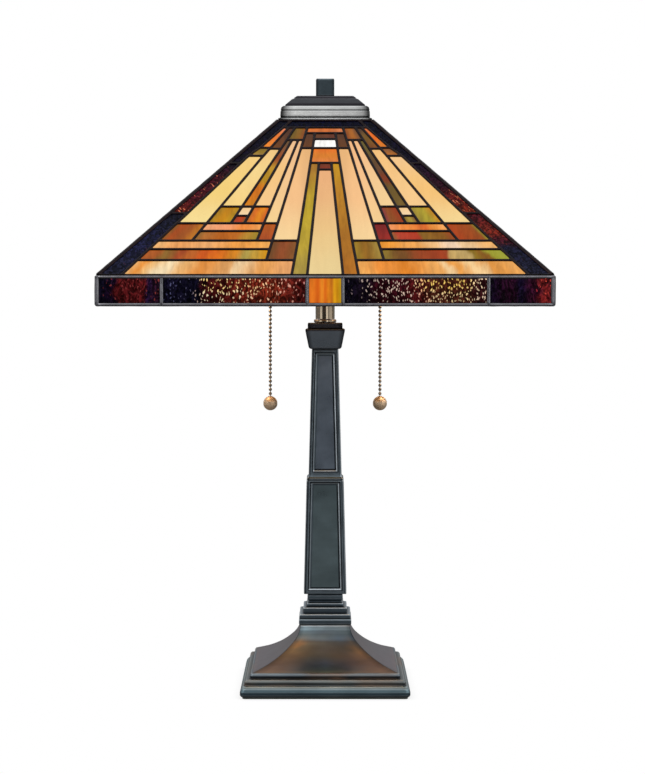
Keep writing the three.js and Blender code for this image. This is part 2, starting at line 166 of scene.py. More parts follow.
def curve_profile(points, step):
    """A smooth curve through points (Catmull-Rom), sampled about every step."""
    p = [np.asarray(q, float) for q in points]
    p = [2 * p[0] - p[1]] + p + [2 * p[-1] - p[-2]]
    out = []
    for i in range(1, len(p) - 2):
        n = max(1, int(np.linalg.norm(p[i + 1] - p[i]) / step))
        for k in range(n):
            t = k / n
            out.append(0.5 * ((2 * p[i]) + (-p[i - 1] + p[i + 1]) * t
                              + (2 * p[i - 1] - 5 * p[i] + 4 * p[i + 1] - p[i + 2]) * t * t
                              + (-p[i - 1] + 3 * p[i] - 3 * p[i + 1] + p[i + 2]) * t ** 3))
    out.append(p[-2])
    return out


def square_ring(h, r, seg, side):
    """A rounded square's points, counter-clockwise, starting on the -Y side."""
    r = max(min(r, h * 0.9), 1e-4)
    pts = []
    for k in range(4):
        rot = k * math.pi / 2
        line = [(x, -h) for x in np.linspace(-(h - r), h - r, side + 1)]
        arc = [(h - r + r * math.cos(a), -(h - r) + r * math.sin(a))
               for a in np.linspace(-math.pi / 2, 0, seg + 1)[1:-1]]
        for x, y in line + arc:
            pts.append((x * math.cos(rot) - y * math.sin(rot), x * math.sin(rot) + y * math.cos(rot)))
    return pts


def wear_and_light_tones(profile, body, rub_highlight, crease_shade, step=0.55, reach=0.7, up=0.12):
    """A closed outline resampled finely, with a tone for each point: a painted highlight, partly rubbed wear, along the
    raised edges, and painted shade, partly patina, in the creases; up makes up-facing points lighter and down-facing
    ones darker as painted top light.  body may be a colour or a function of (half, z)."""
    pts = resample(list(profile) + [profile[0]], step)[:-1]
    n = len(pts)
    area = sum(pts[i][0] * pts[(i + 1) % n][1] - pts[(i + 1) % n][0] * pts[i][1] for i in range(n))
    way = 1.0 if area > 0 else -1.0
    seg = [float(np.linalg.norm(pts[(i + 1) % n] - pts[i])) for i in range(n)]

    def walk(i, d):
        left, k = reach, i
        while left > 0:
            j = (k + d) % n
            s = seg[k] if d > 0 else seg[j]
            if s >= left:
                return pts[k] + (pts[j] - pts[k]) * (left / max(s, 1e-9))
            left -= s
            k = j
        return pts[k]

    out = []
    for i, q in enumerate(pts):
        a, b = walk(i, -1), walk(i, 1)
        u, w = q - a, b - q
        turn = math.atan2(u[0] * w[1] - u[1] * w[0], float(np.dot(u, w))) * way / (math.pi / 2)
        col = np.array(body(q[0], q[1]) if callable(body) else body, float)
        t = b - a
        nz = -t[0] * way / (np.linalg.norm(t) + 1e-9)
        # painted top light: up-facing points lighter, down-facing points darker
        col = col * (1 + up * nz)
        # painted highlight on the raised edges, painted shade in the creases
        if turn > 0:
            col = col + (np.array(rub_highlight, float) - col) * min(1.0, turn * 1.15) ** 1.2
        else:
            col = col + (np.array(crease_shade, float) - col) * min(1.0, -turn * 1.5)
        out.append(tuple(np.clip(col, 0, 255)))
    return [tuple(q) for q in pts], out


def square_loft(name, profile, corner=1.0, seg=4, side=1, closed=True, sharp=38, tones=None, paint=None):
    """A square section swept round Z; profile is [(half, z), ...] in mm, closing on itself.
    corner is the radius of the upright edges in mm, or a function of (half, z)."""
    rings = []
    for h, z in profile:
        r = corner(h, z) if callable(corner) else corner
        rings.append([(x * MM, y * MM, z * MM) for x, y in square_ring(h, r, seg, side)])
    m = len(rings[0])
    verts = [v for ring in rings for v in ring]
    faces, n = [], len(rings)
    for i in range(n if closed else n - 1):
        j = (i + 1) % n
        for k in range(m):
            l = (k + 1) % m
            faces.append((i * m + k, i * m + l, j * m + l, j * m + k))
    if not closed:
        faces.append(tuple(reversed(range(m))))
        faces.append(tuple((n - 1) * m + k for k in range(m)))
    cols = None
    if callable(tones):
        cols = [lin(tones(h, z)) for h, z in profile for _ in range(m)]
    elif tones:
        cols = []
        for (h, z), t, ring in zip(profile, tones, rings):
            for x, y, _ in ring:
                cols.append(lin(paint(x / MM, y / MM, h, z, np.array(t, float)) if paint else t))
    ob = make_mesh(name, verts, faces, colors=cols, sharp_deg=sharp)
    flip_if_needed(ob)
    return weighted(ob)


def lathe(name, profile, n=48, sharp=38, closed=True, axis="Z", at=(0, 0, 0)):
    """A round section: profile is [(radius, z), ...] in mm."""
    verts, faces = [], []
    prof = list(profile)
    cnt = len(prof)
    idx = []
    for r, z in prof:
        if r < 1e-6:
            idx.append([len(verts)] * n)
            verts.append((0, 0, z * MM))
        else:
            idx.append(list(range(len(verts), len(verts) + n)))
            for k in range(n):
                t = 2 * math.pi * k / n
                verts.append((r * MM * math.cos(t), r * MM * math.sin(t), z * MM))
    for i in range(cnt if closed else cnt - 1):
        j = (i + 1) % cnt
        for k in range(n):
            l = (k + 1) % n
            f = [idx[i][k], idx[i][l], idx[j][l], idx[j][k]]
            g = []
            for q in f:
                if q not in g:
                    g.append(q)
            if len(g) > 2:
                faces.append(tuple(g))
    v = np.array(verts)
    if axis == "X+":
        v = np.stack([v[:, 2], v[:, 1], -v[:, 0]], 1)
    elif axis == "X-":
        v = np.stack([-v[:, 2], v[:, 1], v[:, 0]], 1)
    elif axis == "Y":
        v = np.stack([v[:, 0], v[:, 2], -v[:, 1]], 1)
    v = v + np.array(at) * MM
    ob = make_mesh(name, v, faces, sharp_deg=sharp)
    flip_if_needed(ob)
    return weighted(ob)


def signed_volume(me):
    v = np.zeros(len(me.vertices) * 3); me.vertices.foreach_get("co", v); v = v.reshape(-1, 3)
    me.calc_loop_triangles()
    t = np.zeros(len(me.loop_triangles) * 3, np.int32); me.loop_triangles.foreach_get("vertices", t); t = t.reshape(-1, 3)
    a, b, c = v[t[:, 0]], v[t[:, 1]], v[t[:, 2]]
    return float(np.einsum("ij,ij->i", a, np.cross(b, c)).sum() / 6)


def flip_if_needed(ob):
    if signed_volume(ob.data) < 0:
        ob.data.flip_normals()
    return ob


def join_objects(name, obs):
    """One mesh from several, keeping their smooth/sharp marks and attributes."""
    dep = bpy.context.evaluated_depsgraph_get()
    bpy.ops.object.select_all(action="DESELECT")
    for o in obs:
        o.select_set(True)
    bpy.context.view_layer.objects.active = obs[0]
    bpy.ops.object.join()
    obs[0].name = name
    obs[0].data.name = name
    return obs[0]


# -------------------------------------------------------------------- materials
def new_mat(name):
    m = bpy.data.materials.new(name)
    m.use_nodes = True
    nt = m.node_tree
    nt.nodes.clear()
    out = nt.nodes.new("ShaderNodeOutputMaterial")
    p = nt.nodes.new("ShaderNodeBsdfPrincipled")
    nt.links.new(p.outputs[0], out.inputs[0])
    return m, nt, p


def node(nt, kind, **kw):
    n = nt.nodes.new(kind)
    for k, v in kw.items():
        if k == "inputs":
            for key, value in v.items():
                n.inputs[key].default_value = value
        else:
            setattr(n, k, v)
    return n


def tex_noise(nt, coord, scale, detail=4.0, rough=0.55, dist=0.0):
    n = node(nt, "ShaderNodeTexNoise", inputs={"Scale": scale, "Detail": detail, "Roughness": rough, "Distortion": dist})
    nt.links.new(coord, n.inputs["Vector"])
    return n.outputs["Fac"]


def ramp(nt, fac, stops):
    r = node(nt, "ShaderNodeValToRGB")
    e = r.color_ramp.elements
    while len(e) > 1:
        e.remove(e[-1])
    e[0].position, e[0].color = stops[0][0], stops[0][1]
    for pos, col in stops[1:]:
        s = e.new(pos)
        s.color = col
    nt.links.new(fac, r.inputs[0])
    return r.outputs["Color"]


def grey(v):
    return (v, v, v, 1.0)


def mix_rgb(nt, fac, a, b, blend="MIX"):
    n = node(nt, "ShaderNodeMix", data_type="RGBA", blend_type=blend)
    for sock, val in (("Factor", fac), ("A", a), ("B", b)):
        i = {"Factor": 0, "A": 6, "B": 7}[sock]
        if isinstance(val, bpy.types.NodeSocket):
            nt.links.new(val, n.inputs[i])
        else:
            n.inputs[i].default_value = val
    return n.outputs[2]


def math_node(nt, op, a, b=0.0, clamp=False):
    n = node(nt, "ShaderNodeMath", operation=op, use_clamp=clamp)
    for i, val in enumerate((a, b)):
        if isinstance(val, bpy.types.NodeSocket):
            nt.links.new(val, n.inputs[i])
        else:
            n.inputs[i].default_value = val
    return n.outputs[0]


def map_range(nt, v, lo, hi, to_lo, to_hi):
    n = node(nt, "ShaderNodeMapRange", inputs={"From Min": lo, "From Max": hi, "To Min": to_lo, "To Max": to_hi})
    nt.links.new(v, n.inputs["Value"])
    return n.outputs[0]


def bump(nt, p, height, strength, distance):
    b = node(nt, "ShaderNodeBump", inputs={"Strength": strength, "Distance": distance})
    nt.links.new(height, b.inputs["Height"])
    nt.links.new(b.outputs[0], p.inputs["Normal"])
    return b


def coord(nt, scale=(1, 1, 1), rot=(0, 0, 0)):
    tc = node(nt, "ShaderNodeTexCoord")
    mp = node(nt, "ShaderNodeMapping")
    mp.inputs["Scale"].default_value = scale
    mp.inputs["Rotation"].default_value = rot
    nt.links.new(tc.outputs["Object"], mp.inputs["Vector"])
    return mp.outputs[0]


def attr(nt, name, kind="Fac"):
    a = node(nt, "ShaderNodeAttribute", attribute_name=name)
    return a.outputs[kind]


def metal_mat(name, dark, mid, metallic=1.0, rough=(0.3, 0.4), bump_mm=0.02, scale=40.0, speck=0.04, tone=False):
    """Patinated cast metal: a soft mottle, a fine grain and small changes of polish."""
    m, nt, p = new_mat(name)
    co = coord(nt)
    big = tex_noise(nt, co, scale, 3.0, 0.5)
    fine = tex_noise(nt, co, 1100.0, 3.0, 0.6)
    if tone:
        t = attr(nt, "tone", "Color")
        base = mix_rgb(nt, 1.0, t, ramp(nt, big, [(0.3, grey(0.86)), (0.7, grey(1.08))]), "MULTIPLY")
    else:
        base = ramp(nt, big, [(0.3, linear(dark)), (0.7, linear(mid))])
    base = mix_rgb(nt, 1.0, base, ramp(nt, fine, [(0.3, grey(1 - speck)), (0.7, grey(1 + speck))]), "MULTIPLY")
    nt.links.new(base, p.inputs["Base Color"])
    r = map_range(nt, big, 0.3, 0.7, rough[0], rough[1])
    r = math_node(nt, "ADD", r, map_range(nt, fine, 0.3, 0.7, -0.02, 0.03), clamp=True)
    nt.links.new(r, p.inputs["Roughness"])
    p.inputs["Metallic"].default_value = metallic
    bump(nt, p, math_node(nt, "ADD", math_node(nt, "MULTIPLY", big, 0.5), math_node(nt, "MULTIPLY", fine, 0.12)), 0.25, bump_mm * MM * 4)
    return m


def glass_mat(name, gain=0.885, base=0.05, streak=(1, 1, 1), contrast=0.16, rough=0.16, bump_mm=0.05, fine=900.0, scale=150.0):
    """Opalescent sheet glass lit from behind: the piece's own tone, drawn out in streaks."""
    m, nt, p = new_mat(name)
    tone = attr(nt, "tone", "Color")
    co = coord(nt, streak)
    s1 = tex_noise(nt, co, scale, 4.0, 0.6, 0.4)
    s2 = tex_noise(nt, coord(nt), fine, 3.0, 0.6)
    lo, hi = 1.0 - contrast, 1.0 + contrast
    k1 = ramp(nt, s1, [(0.28, grey(lo)), (0.72, grey(hi))])
    k2 = ramp(nt, s2, [(0.3, grey(0.97)), (0.7, grey(1.03))])
    c = mix_rgb(nt, 1.0, tone, k1, "MULTIPLY")
    c = mix_rgb(nt, 1.0, c, k2, "MULTIPLY")
    body = mix_rgb(nt, 1.0, c, grey(base), "MULTIPLY")
    nt.links.new(body, p.inputs["Base Color"])
    nt.links.new(c, p.inputs["Emission Color"])
    p.inputs["Emission Strength"].default_value = gain
    p.inputs["Roughness"].default_value = rough
    p.inputs["IOR"].default_value = 1.5
    p.inputs["Specular IOR Level"].default_value = 0.07
    h = math_node(nt, "ADD", math_node(nt, "MULTIPLY", s1, 0.7), math_node(nt, "MULTIPLY", s2, 0.15))
    bump(nt, p, h, 0.3, bump_mm * MM * 5)
    return m


MAT = {}
MAT["bronze"] = metal_mat("bronze_patina", (78, 90, 99), (92, 104, 112), rough=(0.27, 0.36))
MAT["bronze_foot"] = metal_mat("bronze_foot", (0, 0, 0), (0, 0, 0), rough=(0.33, 0.42), scale=25.0, bump_mm=0.008, tone=True)
MAT["neck"] = metal_mat("neck_brass", (168, 150, 126), (186, 168, 144), rough=(0.08, 0.13), scale=60.0, bump_mm=0.004, speck=0.02)
MAT["cap"] = metal_mat("cap_metal", (0, 0, 0), (0, 0, 0), rough=(0.26, 0.36), tone=True)
# patina mottle over vertex tones that carry painted highlights and painted shade
MAT["column"] = metal_mat("column_patina_and_painted_light", (0, 0, 0), (0, 0, 0), rough=(0.27, 0.36), tone=True)
MAT["dark"] = metal_mat("dark_bronze", (78, 84, 92), (92, 98, 104), rough=(0.25, 0.36))
MAT["brass"] = metal_mat("antique_brass", (104, 86, 62), (132, 114, 88), rough=(0.16, 0.26), scale=90.0)
MAT["chain"] = metal_mat("chain_brass", (128, 118, 104), (156, 146, 130), rough=(0.3, 0.4), scale=150.0)
MAT["ball"] = metal_mat("ball_brass", (206, 178, 146), (226, 198, 166), metallic=0.9, rough=(0.46, 0.56), scale=150.0)
MAT["steel"] = metal_mat("zinc_steel", (150, 152, 154), (184, 185, 186), rough=(0.25, 0.4), scale=120.0)
MAT["iron"] = metal_mat("raw_iron", (50, 47, 45), (76, 70, 66), metallic=0.7, rough=(0.55, 0.8), bump_mm=0.3, speck=0.2)
MAT["solder"] = metal_mat("patinated_solder", (15, 7, 11), (32, 19, 20), metallic=0.85, rough=(0.34, 0.48), scale=200.0)
MAT["rim"] = metal_mat("rim_solder", (84, 86, 91), (130, 129, 132), rough=(0.22, 0.36), scale=180.0, bump_mm=0.05, tone=True)
MAT["screw"] = metal_mat("screw_shell", (190, 182, 150), (214, 206, 176), rough=(0.2, 0.3), scale=150.0)

m, nt, p = new_mat("felt")
co = coord(nt)
f1 = tex_noise(nt, co, 1800.0, 6.0, 0.7)
f2 = tex_noise(nt, co, 90.0, 3.0)
nt.links.new(ramp(nt, f1, [(0.3, linear((18, 28, 20))), (0.7, linear((46, 62, 44)))]), p.inputs["Base Color"])
p.inputs["Roughness"].default_value = 0.95
p.inputs["Sheen Weight"].default_value = 0.6
bump(nt, p, math_node(nt, "ADD", f1, f2), 0.8, 0.0006)
MAT["felt"] = m

m, nt, p = new_mat("black_phenolic")
co = coord(nt)
f1 = tex_noise(nt, co, 700.0, 4.0)
nt.links.new(ramp(nt, f1, [(0.3, linear((16, 15, 14))), (0.7, linear((30, 28, 27)))]), p.inputs["Base Color"])
nt.links.new(map_range(nt, f1, 0.3, 0.7, 0.35, 0.55), p.inputs["Roughness"])
bump(nt, p, f1, 0.3, 0.0002)
MAT["plastic"] = m

m, nt, p = new_mat("frosted_bulb")
co = coord(nt)
f1 = tex_noise(nt, co, 400.0, 3.0)
c = ramp(nt, f1, [(0.2, linear((255, 236, 200))), (0.8, linear((255, 246, 222)))])
nt.links.new(c, p.inputs["Base Color"])
nt.links.new(c, p.inputs["Emission Color"])
p.inputs["Emission Strength"].default_value = 4.0
p.inputs["Roughness"].default_value = 0.4
bump(nt, p, f1, 0.1, 0.0002)
MAT["bulb"] = m

MAT["glass_long"] = glass_mat("opal_glass_bars", streak=(1, 0.12, 0.12), contrast=0.035)
MAT["glass_long_side"] = glass_mat("opal_glass_bars_side", streak=(0.12, 1, 0.12), contrast=0.035)
MAT["glass_strip"] = glass_mat("streaky_glass", streak=(1, 0.2, 0.2), contrast=0.2, rough=0.2, scale=240.0)
MAT["glass_strip_side"] = glass_mat("streaky_glass_side", streak=(0.2, 1, 0.2), contrast=0.2, rough=0.2, scale=240.0)


def ripple_mat(name, cell=3.2, tall=0.52):
    """Dark rippled glass: each ripple that turns towards the light behind shows as a bright fleck."""
    m, nt, p = new_mat(name)
    tone = attr(nt, "tone", "Color")
    spark = attr(nt, "spark", "Color")
    dense = attr(nt, "dense")
    tc = node(nt, "ShaderNodeTexCoord")
    warp = node(nt, "ShaderNodeTexNoise", inputs={"Scale": 170.0, "Detail": 2.0})
    nt.links.new(tc.outputs["Object"], warp.inputs["Vector"])
    off = node(nt, "ShaderNodeVectorMath", operation="SUBTRACT")
    nt.links.new(warp.outputs["Color"], off.inputs[0])
    off.inputs[1].default_value = (0.5, 0.5, 0.5)
    sc = node(nt, "ShaderNodeVectorMath", operation="SCALE")
    nt.links.new(off.outputs[0], sc.inputs[0])
    sc.inputs["Scale"].default_value = 0.004
    add = node(nt, "ShaderNodeVectorMath", operation="ADD")
    nt.links.new(tc.outputs["Object"], add.inputs[0])
    nt.links.new(sc.outputs[0], add.inputs[1])
    mp = node(nt, "ShaderNodeMapping")
    mp.inputs["Scale"].default_value = (1, 1, tall)
    nt.links.new(add.outputs[0], mp.inputs["Vector"])
    part = node(nt, "ShaderNodeSeparateXYZ")
    nt.links.new(mp.outputs[0], part.inputs[0])
    flat = node(nt, "ShaderNodeCombineXYZ")
    nt.links.new(math_node(nt, "ADD", part.outputs[0], part.outputs[1]), flat.inputs[0])
    nt.links.new(part.outputs[2], flat.inputs[1])

    def flecks(size, lo, hi, share):
        vo = node(nt, "ShaderNodeTexVoronoi", voronoi_dimensions="2D", inputs={"Scale": 1000.0 / size, "Randomness": 0.9})
        nt.links.new(flat.outputs[0], vo.inputs["Vector"])
        sp = map_range(nt, vo.outputs["Distance"], lo, hi, 1.0, 0.0)
        se = node(nt, "ShaderNodeSeparateColor")
        nt.links.new(vo.outputs["Color"], se.inputs[0])
        on = math_node(nt, "MULTIPLY", math_node(nt, "SUBTRACT", math_node(nt, "MULTIPLY", dense, share), se.outputs[0]), 9.0, clamp=True)
        br = map_range(nt, se.outputs[1], 0.0, 1.0, 0.6, 2.2)
        return math_node(nt, "MULTIPLY", math_node(nt, "MULTIPLY", sp, on), br, clamp=True), sp

    big, spot = flecks(cell, 0.13, 0.21, 0.85)
    small, _ = flecks(cell * 0.62, 0.14, 0.24, 0.62)
    fleck = math_node(nt, "MAXIMUM", big, math_node(nt, "MULTIPLY", small, 0.75))
    rip = tex_noise(nt, mp.outputs[0], 420.0, 2.5, 0.55, 0.8)
    k = ramp(nt, rip, [(0.36, grey(0.16)), (0.5, grey(0.55)), (0.64, grey(1.6))])
    body = mix_rgb(nt, 1.0, tone, k, "MULTIPLY")
    c = mix_rgb(nt, fleck, body, spark)
    nt.links.new(c, p.inputs["Emission Color"])
    p.inputs["Emission Strength"].default_value = 0.95
    nt.links.new(mix_rgb(nt, 1.0, body, grey(0.1), "MULTIPLY"), p.inputs["Base Color"])
    p.inputs["Roughness"].default_value = 0.2
    p.inputs["Specular IOR Level"].default_value = 0.035
    h = math_node(nt, "ADD", rip, math_node(nt, "MULTIPLY", spot, 0.5))
    bump(nt, p, h, 0.6, 0.0006)
    return m


MAT["ripple"] = ripple_mat("ripple_glass")

# --------------------------------------------------------------- the shade's plane
SHADE_R, SHADE_Z, TOP_R, TOP_Z = 198.9, 392.7, 44.2, 541.6
PANEL_L = math.hypot(SHADE_R - TOP_R, TOP_Z - SHADE_Z)
COS_T, SIN_T = (SHADE_R - TOP_R) / PANEL_L, (TOP_Z - SHADE_Z) / PANEL_L
GLASS_T = 3.0


def turn_z(v, k):
    c, s = (1, 0, -1, 0)[k % 4], (0, 1, 0, -1)[k % 4]
    v = np.asarray(v, float)
    return np.stack([v[..., 0] * c - v[..., 1] * s, v[..., 0] * s + v[..., 1] * c, v[..., 2]], -1)


def on_panel(X, S, H, k):
    """Points of panel k from (across, up the slope, out of the face), mm to m."""
    X, S, H = np.asarray(X, float), np.asarray(S, float), np.asarray(H, float)
    v = np.stack([X, -SHADE_R + S * COS_T - H * SIN_T, SHADE_Z + S * SIN_T + H * COS_T], -1)
    return turn_z(v, k) * MM


LINES = {
    "a": [(0, 15.6), (151.8, 5.7)],
    "b": [(0, 29.2), (46, 23.8), (173, 11.5), (195, 9.6)],
    "c": [(0, 55.2), (203, 16.6)],
    "d": [(0, 71.8), (203, 20.4)],
    "e": [(0, 96.2), (203, 24.3)],
    "f": [(0, 112.4), (203, 28.0)],
    "g": [(0, 141.0), (158, 59.0), (173, 50.8), (203, 34.0)],
    "h": [(0, 177.4), (68.6, 131.8), (161.8, 70.7), (173.6, 60.0), (213.6, 31.6)],
    "edge": [(0, SHADE_R - 1.7), (PANEL_L, TOP_R - 1.7)],
}


def line_at(name, s):
    if name[0] == "-":
        return -line_at(name[1:], s)
    p = LINES[name]
    i = 0
    while i < len(p) - 2 and s > p[i + 1][0]:
        i += 1
    (s0, x0), (s1, x1) = p[i], p[i + 1]
    return x0 + (x1 - x0) * (s - s0) / (s1 - s0)


def line_points(name, s0, s1):
    """The line's points from s0 to s1, with its bends."""
    key = name.lstrip("-")
    mids = [s for s, _ in LINES[key] if s0 + 0.5 < s < s1 - 0.5]
    return [(line_at(name, s), s) for s in [s0] + mids + [s1]]


LOW, HIGH = 1.4, 213.4
CREAM, AMBER, OLIVE = (252, 214, 148), (238, 150, 62), (180, 150, 42)
# glass pieces: key, inner line, outer line, lower and upper S, glass family
CENTRE = [
    ("bar_0", "-a", "a", LOW, 142.3, "long"), ("dot_0", "-a", "a", 142.3, 151.8, "strip"),
    ("gem_0", "-b", "b", 151.8, 173.0, "strip"), ("white_0", "-b", "b", 173.0, 186.0, "strip"),
    ("brow_0", "-b", "b", 186.0, 194.8, "strip"), ("top_0", "-c", "c", 194.8, 203.0, "strip"),
    ("crown_0", "-h", "h", 203.0, HIGH, "ripple"),
]
SIDE = [
    ("reed", "a", "b", LOW, 151.8, "strip"), ("bar_b", "b", "c", 45.7, 173.0, "long"),
    ("brow_b", "b", "c", 173.0, 194.8, "strip"), ("foot_b", "b", "c", 20.5, 45.7, "strip"),
    ("bar_c", "c", "d", 68.6, 184.8, "long"), ("foot_c", "c", "d", 45.7, 68.6, "strip"),
    ("bar_d", "d", "e", 91.0, 184.8, "long"), ("foot_d", "d", "e", 68.6, 91.0, "strip"),
    ("reed_e", "e", "f", 91.0, 184.8, "strip"), ("chip_e", "e", "f", 78.6, 91.0, "long"),
    ("foot_e", "e", "f", 68.6, 78.6, "strip"), ("head", "c", "f", 184.8, 203.0, "strip"),
    ("bar_f", "f", "g", 91.0, 172.0, "long"), ("foot_f", "f", "g", 68.6, 91.0, "strip"),
    ("head_f", "f", "g", 172.0, 203.0, "strip"), ("bar_g", "g", "h", 68.6, 161.8, "long"),
    ("chip_g", "g", "h", 161.8, 173.4, "strip"), ("head_g", "g", "h", 173.4, 203.0, "strip"),
    ("foot_g", "g", "h", 45.7, 68.6, "strip"), ("band_1", "d", "g", 58.3, 68.6, "strip"),
    ("band_2", "d", "g", 45.7, 58.3, "strip"), ("band_3", "c", "h", 34.6, 45.7, "strip"),
    ("band_4", "c", "h", 20.5, 34.6, "strip"), ("band_5", "b", "h", LOW, 20.5, "strip"),
    ("hip_1", "h", "edge", LOW, 82.0, "ripple"), ("hip_2", "h", "edge", 82.0, 151.0, "ripple"),
    ("hip_3", "h", "edge", 151.0, HIGH, "ripple"),
]
